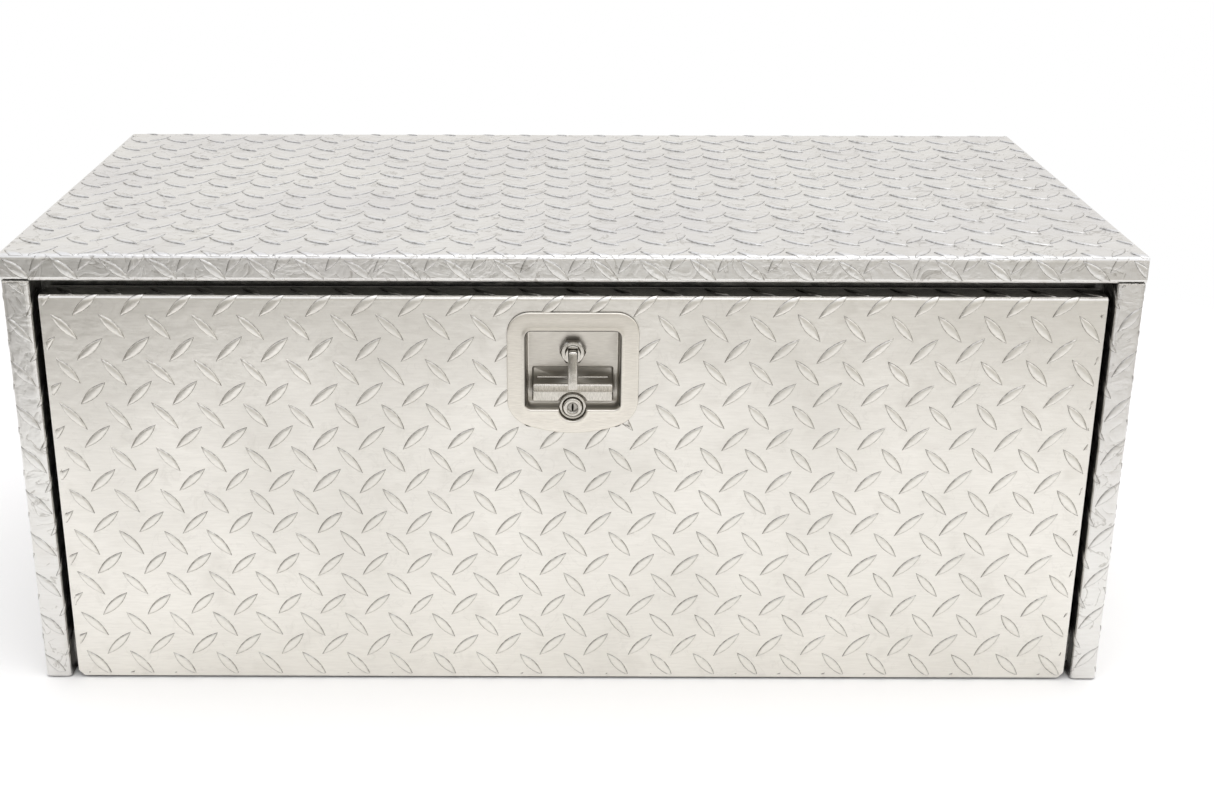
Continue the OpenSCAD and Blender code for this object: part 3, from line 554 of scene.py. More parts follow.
def lattice_tree():
    tree = new_tree("lug_lattice", LATTICE_INPUTS)
    given = put(tree, "NodeGroupInput").outputs
    shape = put(tree, "GeometryNodeObjectInfo", None, {"Object": given["Lug"]}, "Geometry")
    both = put(tree, "GeometryNodeJoinGeometry")
    extent, middle = {}, {}
    for way, count in (("across", "Columns"), ("up", "Rows")):
        gaps = put(tree, "ShaderNodeMath", SUBTRACT, {0: given[count], 1: 1.0}, 0)
        extent[way] = put(tree, "ShaderNodeMath", MULTIPLY, {0: gaps, 1: given["Pitch " + way]}, 0)
        middle[way] = put(tree, "ShaderNodeMath", MULTIPLY_ADD, {
            0: extent[way], 1: 0.5, 2: given["Start " + way]}, 0)
    for half_step, lean, up_share, tallness in (
            (0.0, "Left lean", 0.0, 1.0),
            (0.5, "Right lean", given["Right offset up"], given["Right height"])):
        grid = put(tree, "GeometryNodeMeshGrid", None, {
            "Size X": extent["across"], "Size Y": extent["up"],
            "Vertices X": given["Columns"], "Vertices Y": given["Rows"]}, "Mesh")
        place = {way: put(tree, "ShaderNodeMath", MULTIPLY_ADD, {
            0: given["Pitch " + way], 1: share, 2: middle[way]}, 0)
            for way, share in (("across", half_step), ("up", up_share))}
        centre = put(tree, "ShaderNodeCombineXYZ", None, {"X": place["across"], "Y": place["up"]}, 0)
        seed = put(tree, "ShaderNodeMath", MULTIPLY_ADD, {0: half_step, 1: 2.0, 2: given["Seed"]}, 0)
        stray = put(tree, "FunctionNodeRandomValue", {"data_type": "FLOAT_VECTOR"}, {
            0: (-WANDER_MM, -WANDER_MM, 0), 1: (WANDER_MM, WANDER_MM, 0), "Seed": seed}, 0)
        shift = put(tree, "ShaderNodeVectorMath", ADD, {0: centre, 1: stray}, 0)
        points = put(tree, "GeometryNodeSetPosition", None, {"Geometry": grid, "Offset": shift}, 0)
        twist = put(tree, "FunctionNodeRandomValue", {"data_type": "FLOAT"}, {
            2: -LEAN_WANDER, 3: LEAN_WANDER, "Seed": seed}, 1)
        heading = put(tree, "ShaderNodeMath", ADD, {0: given[lean], 1: twist}, 0)
        turned = put(tree, "ShaderNodeCombineXYZ", None, {"Z": heading}, 0)
        size_seed = put(tree, "ShaderNodeMath", ADD, {0: seed, 1: 7.0}, 0)
        size = put(tree, "FunctionNodeRandomValue", {"data_type": "FLOAT_VECTOR"}, {
            0: LEAST, 1: GREATEST, "Seed": size_seed}, 0)
        stature = put(tree, "ShaderNodeCombineXYZ", None, {"X": 1.0, "Y": 1.0, "Z": tallness}, 0)
        grown_size = put(tree, "ShaderNodeVectorMath", MULTIPLY, {0: size, 1: stature}, 0)
        lugs = put(tree, "GeometryNodeInstanceOnPoints", None, {
            "Points": points, "Instance": shape, "Rotation": turned, "Scale": grown_size}, 0)
        tree.links.new(lugs, both.inputs[0])
    real = put(tree, "GeometryNodeRealizeInstances", None, {"Geometry": both.outputs[0]}, 0)
    painted = put(tree, "GeometryNodeSetMaterial", None, {"Geometry": real, "Material": given["Finish"]}, 0)
    put(tree, "NodeGroupOutput", None, {"Geometry": painted})
    return tree


def grown(tree, inputs, name, holder_mesh=None):
    """Runs a tree on a mesh with the given inputs, and returns the result as a plain mesh."""
    holder = placed(name + "_holder", holder_mesh or bpy.data.meshes.new(name))
    modifier = holder.modifiers.new("tree", "NODES")
    modifier.node_group = tree
    for item in tree.interface.items_tree:
        if item.in_out == "INPUT" and item.name in inputs:
            modifier[item.identifier] = inputs[item.name]
    bpy.context.view_layer.update()
    graph = bpy.context.evaluated_depsgraph_get()
    mesh = bpy.data.meshes.new_from_object(holder.evaluated_get(graph))
    mesh.name = name
    bpy.data.objects.remove(holder)
    return mesh


lattice = lattice_tree()
print("lattice tree:", len(lattice.nodes), "nodes")

# %% [markdown]
# Trimming and folding. A shear cuts straight through the lugs at the edge of a blank, and the cut
# end is closed again so that each lug stays a solid. Extra edges go in at each fold, so a lug that
# crosses it bends with the plate.

# %% Trim, fold and finish a field of lugs
def cut_away(field, edge, outward):
    """Removes what lies beyond a straight edge of the blank, and closes the cut."""
    cut = bmesh.ops.bisect_plane(
        field, geom=field.verts[:] + field.edges[:] + field.faces[:], dist=1e-4,
        plane_co=edge, plane_no=outward, clear_outer=True)
    rim = [e for e in cut["geom_cut"] if isinstance(e, bmesh.types.BMEdge)]
    bmesh.ops.holes_fill(field, edges=rim)


def crease(field, axis, distances):
    """Adds edges along lines across the blank."""
    for distance in distances:
        point, normal = Vector((0, 0, 0)), Vector((0, 0, 0))
        point[axis], normal[axis] = distance, 1
        bmesh.ops.bisect_plane(
            field, geom=field.verts[:] + field.edges[:] + field.faces[:], dist=1e-4,
            plane_co=point, plane_no=normal)


def shade_edges(field, sharp_degrees):
    """Lets the shading run on over every edge that turns by less than so much."""
    for edge in field.edges:
        edge.smooth = edge.calc_face_angle(0) < math.radians(sharp_degrees)


def lug_field(name, body, low, high, pitch, start, leans, seed, fold, creases=(), skip=None):
    """Lugs over a rectangle of the blank, from low to high, folded by fold(across, along, height)."""
    first = [start[i] + pitch[i] * (math.floor((low[i] - start[i]) / pitch[i]) - 1) for i in (0, 1)]
    count = [math.ceil((high[i] - first[i]) / pitch[i]) + 1 for i in (0, 1)]
    mesh = grown(lattice, {
        "Lug": lug, "Finish": tread_flat if body == "door" else tread_bent,
        "Columns": count[0], "Rows": count[1],
        "Pitch across": pitch[0], "Pitch up": pitch[1], "Start across": first[0], "Start up": first[1],
        "Left lean": math.radians(leans[0]), "Right lean": math.radians(leans[1]),
        "Right offset up": leans[2], "Right height": leans[3], "Seed": seed}, name)
    field = bmesh.new()
    field.from_mesh(mesh)
    if skip:
        bmesh.ops.delete(field, geom=[v for v in field.verts if skip(v.co)], context="VERTS")
    for axis in (0, 1):
        for edge, sign in ((low, -1), (high, 1)):
            outward = Vector((0, 0, 0))
            outward[axis] = sign
            cut_away(field, Vector((edge[0], edge[1], 0)), outward)
    for axis, distances in creases:
        crease(field, axis, [d for d in distances if low[axis] < d < high[axis]])
    for vert in field.verts:
        vert.co = fold(*vert.co)
    bmesh.ops.recalc_face_normals(field, faces=field.faces)
    for face in field.faces:
        face.smooth = True
    shade_edges(field, LUG_SHARP)
    field.to_mesh(mesh)
    field.free()
    piece = placed(name, mesh)
    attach(piece, body)
    print(name, len(mesh.polygons), "faces")


WRAP_PITCH, DOOR_PITCH = (39.1, 38.0), (37.5, 38.5)
# Left lean and right lean in degrees, then the right lug's offset in pitches and its height.
WRAP_LEANS, BAND_LEANS, DOOR_LEANS = (-40, 52, 0.27, 0.5), (-40, 52, 0.27, 0.28), (-48, 43, 0.5, 1.0)
print("pattern repeats every", WRAP_PITCH, "mm on the wrap and", DOOR_PITCH, "mm on the door")

# %% [markdown]
# The wrap is one long blank: from the return behind the band, up over the front fold, across the
# top, down the back and along the floor. It is laid out in four fields, so that no one piece grows
# too heavy, and all of them share one starting point, so the pattern runs on through the folds.
# Only the narrow band has a row of its own, with faint right-leaning lugs, as the fold flattened it.

# %% Lugs on the wrap
FOLD_FRONT, FOLD_BACK = wrap_face.marks[2], wrap_face.marks[3]
TOP_ROW, BAND_ROW, WRAP_START = FOLD_FRONT + 40, FOLD_FRONT - 11.5, -13.5


def on_wrap(across, along, height):
    y, z = wrap_face.place(along, height)
    return spot(across, y, z)


WRAP_EDGE, BACK_EDGE = BOX_HALF - 1.5, BOX_HALF - 4.0
for word, edge, first, last, row, leans, seed in (
        ("band", WRAP_EDGE, wrap_face.marks[1] + 2, FOLD_FRONT, BAND_ROW, BAND_LEANS, 2),
        ("top", WRAP_EDGE, FOLD_FRONT, FOLD_BACK, TOP_ROW, WRAP_LEANS, 3),
        ("back", BACK_EDGE, FOLD_BACK, wrap_face.marks[4], TOP_ROW, WRAP_LEANS, 4),
        ("base", BACK_EDGE, wrap_face.marks[4], wrap_face.length - 8, TOP_ROW, WRAP_LEANS, 5)):
    lug_field("lugs_" + word, "box", (-edge, first), (edge, last), WRAP_PITCH, (WRAP_START, row),
              leans, seed, on_wrap, [(1, wrap_face.folds())])

# %% [markdown]
# An end panel is folded once round the front corner and once more into the opening. Its lugs are
# laid out in the same way. The left panel is the mirror of the right, so one function places both.

# %% Lugs on the end panels
FRAME_HALF, END_TOP, FLANGE_TOP = 434.7, 377, BAND_FOOT - 1
end_face = FoldedFace([(BOX_HALF, BOX_DEEP), (BOX_HALF, 0), (FRAME_HALF, 0), (FRAME_HALF, RETURN_DEEP)])
FOLD_HALF = 3.2  # from the middle of a fold to where the flat begins, along the blank
for side, word, seed in ((-1, "left", 11), (1, "right", 12)):
    def on_end(along, up_z, height, side=side):
        x, y = end_face.place(along, height)
        return spot(side * x, y, up_z)

    flange_start = end_face.marks[1] - FOLD_HALF
    lug_field("lugs_%s_end" % word, "box", (3, 2), (flange_start, END_TOP), DOOR_PITCH,
              (end_face.marks[1] - 30, 12), DOOR_LEANS, seed, on_end, [(0, end_face.folds())])
    lug_field("lugs_%s_flange" % word, "box", (flange_start, 5), (end_face.length - 12, FLANGE_TOP),
              DOOR_PITCH, (end_face.marks[1] + 9, 16 + 5 * side), DOOR_LEANS, seed + 10, on_end,
              [(0, end_face.folds())])

# %% [markdown]
# The door's pattern is cut by the latch plate, which covers it. Lugs whose middle lies under the
# plate are left off, because the hole for the dish is there. The fields on the door's folded edges
# follow the same layout, so a lug that reaches a fold carries on round it.

# %% Lugs on the door
skin_low, skin_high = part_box("door_skin")
DOOR_HALF, DOOR_TOP, DOOR_FOOT = skin_high[0] / MM, skin_high[2] / MM, skin_low[2] / MM
DOOR_FOLD, FOLD_FOOT = 24.5, 331.5  # depth of the door's folded edges, and where the top one ends
door_rise = FoldedFace([
    (0, DOOR_FOOT), (0, DOOR_TOP), (DOOR_FOLD, DOOR_TOP), (DOOR_FOLD, FOLD_FOOT)])
door_side = FoldedFace([(0, 0), (-DOOR_HALF, 0), (-DOOR_HALF, DOOR_FOLD)])
pan_low, pan_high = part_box("latch_pan")
PLATE_HALF, PLATE_LOW, PLATE_TOP = pan_high[0] / MM, pan_low[2] / MM, pan_high[2] / MM


def on_door_front(across, along, height):
    y, z = door_rise.place(along, height)
    return spot(across, y, z)


def on_door_side(across, along, height):
    x, y = door_side.place(abs(across), height)
    return spot(math.copysign(x, across), y, along + DOOR_FOOT)


def under_latch(point):
    """True for a point of the blank behind the dish's hole."""
    rim, middle = 9, (PLATE_LOW + PLATE_TOP) / 2 - DOOR_FOOT
    return (abs(point.x) < PLATE_HALF - rim
            and abs(point.y - middle) < (PLATE_TOP - PLATE_LOW) / 2 - rim)


side_start = door_side.marks[1] - FOLD_HALF
top_start = door_rise.marks[1] - FOLD_HALF
DOOR_START = (2.5, 321 - DOOR_FOOT)
lug_field("lugs_door", "door", (-side_start, 3), (side_start, door_rise.marks[2] - 3), DOOR_PITCH,
          DOOR_START, DOOR_LEANS, 21, on_door_front, [(1, door_rise.folds())], under_latch)
SIDE_FOOT = 48
for side, word in ((-1, "left"), (1, "right")):
    span = sorted((side * side_start, side * (door_side.length - 3)))
    lug_field("lugs_door_%s_edge" % word, "door", (span[0], SIDE_FOOT), (span[1], top_start), DOOR_PITCH,
              DOOR_START, DOOR_LEANS, 22, on_door_side, [(0, [side * d for d in door_side.folds()])])

# %% [markdown]
# Turned, pressed and forged pieces are all built in one way: rings of points laid one after the
# other, as a potter stacks coils, joined by quads and closed at both ends. A pressed dish is such a
# stack too. Every ring is read off an outline by looking out from one middle at even angles.

# %% Stacks of rings
def stack(name, rings, closed_ends=True):
    """A closed piece from rings of points: capped at both ends, or joined round like a pipe's wall."""
    count, around = len(rings), len(rings[0])
    faces = ring_faces(count, around, not closed_ends)
    return mesh_piece(name, [p for ring in rings for p in ring],
                      faces + end_caps(count, around) if closed_ends else faces)


def settle(piece, body, look, replaced=(), sharp_degrees=40):
    """Turns faces outwards, marks the sharp edges, and gives the piece its body and finish."""
    field = bmesh.new()
    field.from_mesh(piece.data)
    bmesh.ops.remove_doubles(field, verts=field.verts, dist=1e-7)
    bmesh.ops.recalc_face_normals(field, faces=field.faces)
    shade_edges(field, sharp_degrees)
    field.to_mesh(piece.data)
    field.free()
    piece.data.materials.clear()
    piece.data.materials.append(look)
    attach(piece, body)
    if replaced:
        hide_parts(*replaced)
    print(piece.name, len(piece.data.polygons), "faces on", body)


def arc(cx, cz, radius, start, end, steps):
    """Points along an arc, with angles in degrees."""
    angles = [math.radians(start + (end - start) * i / steps) for i in range(steps + 1)]
    return [(cx + radius * math.cos(a), cz + radius * math.sin(a)) for a in angles]


def round_box(x0, z0, x1, z1, radius):
    """Outline of a rectangle with round corners."""
    left, right, low, high = x0 + radius, x1 - radius, z0 + radius, z1 - radius
    corners = ((right, low, -90), (right, high, 0), (left, high, 90), (left, low, 180))
    return [p for x, z, start in corners for p in arc(x, z, radius, start, start + 90, 8)]


def reach(angle, middle, outlines):
    """How far the furthest of some outlines lies from the middle, at an angle."""
    dx, dz = math.cos(angle), math.sin(angle)
    furthest = 0.0
    for outline in outlines:
        for (ax, az), (bx, bz) in zip(outline, outline[1:] + outline[:1]):
            ex, ez = bx - ax, bz - az
            cross = dx * ez - dz * ex
            if abs(cross) < 1e-9:
                continue
            px, pz = ax - middle[0], az - middle[1]
            far, share = (px * ez - pz * ex) / cross, (px * dz - pz * dx) / cross
            if -1e-9 <= share <= 1 + 1e-9:
                furthest = max(furthest, far)
    return furthest


def look_out(middle, outlines, steps):
    """Points of the outlines' shared outer edge, seen from the middle."""
    seen = [(a, reach(a, middle, outlines)) for a in (math.tau * i / steps for i in range(steps))]
    return [(middle[0] + far * math.cos(a), middle[1] + far * math.sin(a)) for a, far in seen]


print("a round corner of 4 mm has", len(arc(0, 0, 4, 0, 90, 8)), "points")

# %% [markdown]
# The latch dish is drawn from one stainless blank: a flat plate with round shoulders and a foot that
# bulges under the lock, a rolled lip, steep walls, and a tray with a finger recess behind the bar.
# The plate's edge is rounded over. Shade is painted on the dish: a thin dark line round the plate's
# rounded edge and round the lip's inner edge, and darker walls, tray floor and recess.

# %% Outlines of the dish
shaft_low, shaft_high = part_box("latch_shaft")
SHAFT_Z = (shaft_low[2] + shaft_high[2]) / 2 / MM
LOCK_Z = SHAFT_Z - 45
TRAY_HALF, TRAY_TOP, TRAY_LOW = 38.3, SHAFT_Z + 20.7, SHAFT_Z - 46.4
DISH_MIDDLE = (0.0, SHAFT_Z - 26)
DISH_STEPS = 300


def plate_outline(grow):
    bulge = (0.0, PLATE_LOW + 110)
    low = (PLATE_HALF - 24, bulge[1] - math.sqrt((110 - 24) ** 2 - (PLATE_HALF - 24) ** 2))
    foot = math.degrees(math.atan2(low[0], bulge[1] - low[1]))
    half = (arc(*bulge, 110 + grow, -90, -90 + foot, 10) + arc(*low, 24 + grow, -90 + foot, 0, 10)
            + arc(PLATE_HALF - 18, PLATE_TOP - 18, 18 + grow, 0, 90, 10))
    return [half + [(-x, z) for x, z in reversed(half)]]


def tray_outline(grow):
    return [round_box(-TRAY_HALF - grow, TRAY_LOW - grow, TRAY_HALF + grow, TRAY_TOP + grow, 4.5 + grow),
            arc(0, LOCK_Z, 11.35 + grow, 0, 360, 64)[:-1]]


def recess_outline(grow):
    return [round_box(-33 - grow, TRAY_LOW + 4 - grow, 33 + grow, SHAFT_Z - 14.2 + grow, 1.2 + grow)]


def dish_ring(outlines, y):
    return [spot(x, y, z) for x, z in look_out(DISH_MIDDLE, outlines, DISH_STEPS)]


print("dish opening", round(2 * TRAY_HALF, 1), "by", round(TRAY_TOP - TRAY_LOW, 1), "mm")

# %% [markdown]
# A table tells the dish ring by ring, from the back of the recess, round the edge of the plate and
# down into the tray again. Each row has an outline, how far it is grown, its depth, and how much
# shade is painted there. On the bottom side of the tray's lip that painted shade is cut to a tenth,
# as that side faces up into the light.

# %% The latch dish
DISH_RINGS = [  # outline, how far it is grown, depth, shade
    (recess_outline, 0.6, 15.8, 0), (tray_outline, 1.0, 13.3, 0), (tray_outline, 1.6, 11.5, 0),
    (tray_outline, 1.6, 1.0, 0), (tray_outline, 2.2, -0.7, 0), (plate_outline, -0.2, -0.78, 0.5),
    (plate_outline, 0.0, -1.0, 0.7), (plate_outline, 0.0, -1.45, 0.55), (plate_outline, -0.25, -2.0, 0.1),
    (plate_outline, -0.75, -2.32, 0), (plate_outline, -1.5, -2.4, 0), (plate_outline, -6.0, -2.4, 0),
    (tray_outline, 4.2, -2.4, 0), (tray_outline, 3.2, -2.5, 0), (tray_outline, 2.3, -2.85, 0),
    (tray_outline, 1.5, -3.0, 0.05), (tray_outline, 1.0, -2.93, 0.7), (tray_outline, 0.6, -2.7, 1.0),
    (tray_outline, 0.15, -2.1, 1.0), (tray_outline, 0.0, -1.2, 0.85), (tray_outline, -0.3, 4.0, 0.75),
    (tray_outline, -0.6, 9.6, 0.6), (tray_outline, -1.0, 10.9, 0.35), (tray_outline, -1.8, 11.6, 0.0),
    (tray_outline, -2.6, 11.8, 0.3), (recess_outline, 0.5, 11.8, 0.36), (recess_outline, 0.1, 12.0, 0.5),
    (recess_outline, -0.2, 12.8, 0.7), (recess_outline, -0.6, 14.3, 0.6),
    (recess_outline, -1.4, 14.6, 0.42),
]
dish = stack("latch_dish", [dish_ring(outline(grow), y) for outline, grow, y, _ in DISH_RINGS])
# Painted shade, by ring from the table; on the bottom side of the tray's lip, which faces up into the
# light, it is cut to a tenth.
paint_shade(dish, [
    shade * (0.1 if outline is tray_outline and y < 0 and math.sin(math.tau * i / DISH_STEPS) < -0.42
             else 1) for outline, _, y, shade in DISH_RINGS for i in range(DISH_STEPS)])
settle(dish, "door", satin, ["latch_pan"], 60)

# %% [markdown]
# A narrow rib is pressed along the recess to stiffen it; it shows as one bright line behind the
# handle. Four studs on the plate's back take the nuts.

# %% Rib and studs
def along_x(name, section, stations):
    """A bar along x: the section's (y, z) points, scaled about their middle at each station."""
    cy = sum(p[0] for p in section) / len(section)
    cz = sum(p[1] for p in section) / len(section)
    return stack(name, [[spot(x, cy + (y - cy) * size, cz + (z - cz) * size) for y, z in section]
                        for x, size in stations])


def round_bar_stations(half, steps=5, radius=1.0):
    """Stations whose sizes round the two ends of a bar."""
    ends = [(half - radius * (1 - math.sin(a)), max(math.cos(a) ** 0.5, 0.05))
            for a in (math.pi / 2 * i / steps for i in range(steps + 1))]
    return [(-x, size) for x, size in reversed(ends)] + ends


RIB_Z = SHAFT_Z - 24.2
rib_section = [(14.7 - 1.1 * math.cos(a), RIB_Z + 0.75 * math.sin(a))
               for a in (math.tau * i / 16 for i in range(16))]
rib = along_x("latch_dish_rib", rib_section, round_bar_stations(29.5))
settle(rib, "door", polished)


def turned(name, middle, profile, steps=48, closed_ends=True):
    """A turned piece along y: a (radius, depth) profile about a middle (x, z)."""
    return stack(name, [[spot(middle[0] + r * math.cos(a), y, middle[1] + r * math.sin(a))
                         for a in (math.tau * i / steps for i in range(steps))] for r, y in profile],
                 closed_ends)


def joined(name, parts):
    """Joins finished meshes into one piece."""
    bpy.ops.object.select_all(action="DESELECT")
    for part in parts:
        part.select_set(True)
    bpy.context.view_layer.objects.active = parts[0]
    bpy.ops.object.join()
    parts[0].name = name
    parts[0].data.name = name
    return parts[0]


STUD_PROFILE = [(0.4, 9.5), (1.9, 9.5), (2.45, 8.9)] + [
    (2.5 - 0.22 * (k % 2), 8.6 - 0.35 * k) for k in range(24)] + [(2.45, -0.6), (0.4, -0.7)]
studs = joined("latch_studs", [
    turned("stud", (x, z), STUD_PROFILE, 20)
    for x in (-45.5, 45.5) for z in (PLATE_TOP - 11, PLATE_LOW + 21)])
settle(studs, "door", zinc)

# %% [markdown]
# The hexagon boss is the head of the bushing that carries the shaft. A turned chamfer takes its
# corners down, so the top of each flat ends in a low arc. It is a stack of rings too, where each
# ring's radius follows a hexagon or a circle, so the chamfer's arcs come by themselves.

# %% Hexagon boss
HEX_HALF, HEX_FACE, HEX_BASE = 9.5, 5.8, 11.8


def hex_reach(angle):
    """Distance to a hexagon's side, with a flat at the top and one at the bottom."""
    sixth = (angle + math.pi / 6) % (math.pi / 3) - math.pi / 6
    return HEX_HALF / math.cos(sixth)


def boss_ring(size, y):
    """A ring of the boss: size(angle) is its radius, y(angle) its depth."""
    angles = [math.tau * (i + 0.5) / 96 for i in range(96)]
    return [spot(size(a) * math.cos(a), y(a), SHAFT_Z + size(a) * math.sin(a)) for a in angles]


def hex_at(angle):
    return hex_reach(angle + math.pi / 6)


chamfer = HEX_HALF - 0.2
boss = stack("latch_hexagon_boss", [
    boss_ring(lambda a: 8.4, lambda a: 19.0), boss_ring(lambda a: 8.4, lambda a: 11.2),
    boss_ring(hex_at, lambda a: HEX_BASE),
    boss_ring(hex_at, lambda a: HEX_FACE + 0.25 + (hex_at(a) - chamfer) * 0.75),
    boss_ring(lambda a: min(hex_at(a), chamfer) - 0.15, lambda a: HEX_FACE + 0.05),
    boss_ring(lambda a: chamfer - 0.7, lambda a: HEX_FACE),
    boss_ring(lambda a: 6.6, lambda a: HEX_FACE), boss_ring(lambda a: 6.2, lambda a: HEX_FACE + 0.3),
    boss_ring(lambda a: 6.05, lambda a: HEX_FACE + 1.2), boss_ring(lambda a: 6.05, lambda a: 19.0)],
    closed_ends=False)
# Painted shade: dark on the hexagon's sides and down the bore, none on its chamfer and face.
paint_shade(boss, [shade for shade in (0, 0.6, 0.95, 0.8, 0.1, 0, 0, 0.5, 0.9, 1) for _ in range(96)])
settle(boss, "door", polished, ["hex_bushing"], 24)

# %% [markdown]
# The ring of the lock is turned with a rounded lip, and the plug inside it has a raised rim round a
# sunken face with the keyway. The plug turns with the key, so it is a piece of its own. Its rings
# go from a circle to the outline of the keyway, which is then sunk deep into the plug.

# %% Lock ring and plug
LOCK_MIDDLE = (0.0, LOCK_Z)
ring = turned("lock_ring", LOCK_MIDDLE, [
    (8.9, 19.3), (8.9, 14.7), (9.7, 14.6), (9.8, 5.0), (11.1, 4.4), (11.2, 1.4), (11.05, 0.7),
    (10.6, 0.3), (9.6, 0.2), (8.9, 0.35), (8.3, 0.8), (7.87, 1.5), (7.87, 19.3)], 64, False)
settle(ring, "door", polished, ["lock_housing"], 50)


def keyed_ring(radius, y, squareness):
    """A ring between a circle and the outline of the keyway slot."""
    slot_edge = look_out(LOCK_MIDDLE, [round_box(-0.7, LOCK_Z - 3.3, 0.7, LOCK_Z + 3.3, 0.3)], 64)
    circle = [(radius * math.cos(a), LOCK_Z + radius * math.sin(a))
              for a in (math.tau * i / 64 for i in range(64))]
    return [spot(cx + (sx - cx) * squareness, y, cz + (sz - cz) * squareness)
            for (cx, cz), (sx, sz) in zip(circle, slot_edge)]


plug_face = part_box("lock_plug")[0][1] / MM - FACE_Y
plug_rings = [(4.0, 20.4, 0), (4.0, 17.2, 0), (7.75, 17.1, 0), (7.8, plug_face + 1.0, 0),
              (7.6, plug_face + 0.35, 0), (7.1, plug_face + 0.05, 0), (6.5, plug_face, 0),
              (5.0, plug_face + 0.05, 0), (4.5, plug_face + 0.25, 0), (4.25, plug_face + 0.75, 0),
              (3.7, plug_face + 1.0, 0), (3.4, plug_face + 1.0, 0.5), (3.4, plug_face + 1.05, 0.96),
              (3.4, plug_face + 1.25, 1), (3.4, plug_face + 7.5, 1)]
plug = stack("lock_plug_core", [keyed_ring(r, y, k) for r, y, k in plug_rings])
# Painted shade: none on the rim and face, dark down into the sunken middle and the keyway.
paint_shade(plug, [
    shade for shade in (0, 0, 0, 0, 0, 0, 0, 0, 0.3, 0.8, 0.55, 0.4, 0.8, 1, 1) for _ in range(64)])
settle(plug, "key_plug", polished, ["lock_plug"], 50)

# %% [markdown]
# The T-handle is a forging: an eye that hinges in the fork of the shaft, a stem with rounded edges,
# and a bar for the fingers. The bar's face has a ridge along it, its ends are rounded, and an arch
# is cut in its foot so that it clears the lock. It is laid as a row of sections from end to end.

# %% T-handle
bar_low, bar_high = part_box("t_handle")
BAR_HALF, BAR_FOOT, BAR_HEAD = bar_high[0] / MM, bar_low[2] / MM, SHAFT_Z - 24.8
BAR_FRONT, BAR_BACK = bar_low[1] / MM - FACE_Y, 1.9
NOTCH_R = 13.2


def bar_section(x, shrink):
    """The bar's (y, z) outline at x: sloped brow, ridge, undercut face, and rounded edges."""
    foot = BAR_FOOT
    if abs(x) < NOTCH_R:
        foot = max(foot, LOCK_Z + math.sqrt(NOTCH_R ** 2 - x * x))
    head, ridge = BAR_HEAD, max(BAR_HEAD - 6.2, foot + 1.2)
    front, back = BAR_FRONT + shrink * 0.9, BAR_BACK - shrink * 0.5
    foot, head = foot + shrink, head - shrink
    ridge = min(max(ridge, foot + 0.9), head - 2.2)
    section = [
        (back, head - 1.0), (back - 0.25, head - 0.3), (back - 0.9, head), (front + 1.7, head),
        (front + 1.0, head - 0.25), (front + 0.6, head - 0.9), (front + 0.12, ridge + 0.6),
        (front, ridge + 0.15), (front + 0.05, ridge - 0.25), (front + 0.5, ridge - 0.6),
        (front + 0.75, foot + 0.75), (front + 1.0, foot + 0.25), (front + 1.5, foot),
        (back - 0.9, foot), (back - 0.25, foot + 0.3), (back, foot + 1.0)]
    return [spot(x, y, z) for y, z in section]


ends = [(BAR_HALF - 1.8 * (1 - math.sin(a)), 1.8 * (1 - math.cos(a))) for a in
        (math.pi / 2 * i / 6 for i in range(7))]
inner = sorted(
    {round(NOTCH_R * math.sin(math.radians(d)), 3) for d in range(0, 91, 6)} | {13.6, 18.0, 24.0})
stations = [(x, 0.0) for x in inner] + ends
stations = [(-x, s) for x, s in reversed(stations[1:])] + stations
bar = stack("handle_bar", [bar_section(x, shrink) for x, shrink in stations])

FOLD_Y, EYE_R, STEM_HALF = 2.4, 3.1, 3.8
stem_outline = (
    arc(FOLD_Y, SHAFT_Z, EYE_R, 180, 0, 14) + arc(FOLD_Y, SHAFT_Z, EYE_R, 0, -60, 4)[1:]
    + [(BAR_BACK - 0.2, SHAFT_Z - 9), (BAR_BACK - 0.2, BAR_HEAD - 2), (BAR_FRONT + 0.1, BAR_HEAD - 4.5),
       (BAR_FRONT - 0.2, BAR_HEAD - 1), (BAR_FRONT - 0.1, BAR_HEAD + 3), (BAR_FRONT + 0.3, SHAFT_Z - 16),
       (BAR_FRONT + 0.5, SHAFT_Z - 6), (FOLD_Y - EYE_R, SHAFT_Z - 1)])


def inset(outline, distance):
    """Moves each corner of an outline inwards along the mean of its edges' normals."""
    moved = []
    for i, (y, z) in enumerate(outline):
        before, after = Vector(outline[i - 1]), Vector(outline[(i + 1) % len(outline)])
        run = (after - before).normalized()
        moved.append((y + run.y * distance * turn_way, z - run.x * distance * turn_way))
    return moved


area = sum(a[0] * b[1] - b[0] * a[1] for a, b in zip(stem_outline, stem_outline[1:] + stem_outline[:1]))
turn_way = -math.copysign(1, area)
stem_sides = [(1.0, 1.15), (0.95, 0.6), (0.82, 0.22), (0.6, 0.0), (0.3, -0.1), (0.0, -0.14)]
stem_rings = [(-STEM_HALF * share, pull) for share, pull in stem_sides] + [
    (STEM_HALF * share, pull) for share, pull in reversed(stem_sides[:-1])]
stem = stack("handle_stem", [
    [spot(x, y, z) for y, z in inset(stem_outline, pull)] for x, pull in stem_rings])
handle = joined("t_handle_forging", [bar, stem])
settle(handle, "handle", polished, ["t_handle"], 50)

# %% [markdown]
# The door closes on a rubber seal: a D-shaped bulb on a flat foot, extruded in one length and run
# round the opening with rounded corners, with its joint at the foot. It is drawn as one section
# carried round a path, and the bulb wavers a little, as a soft extrusion does.

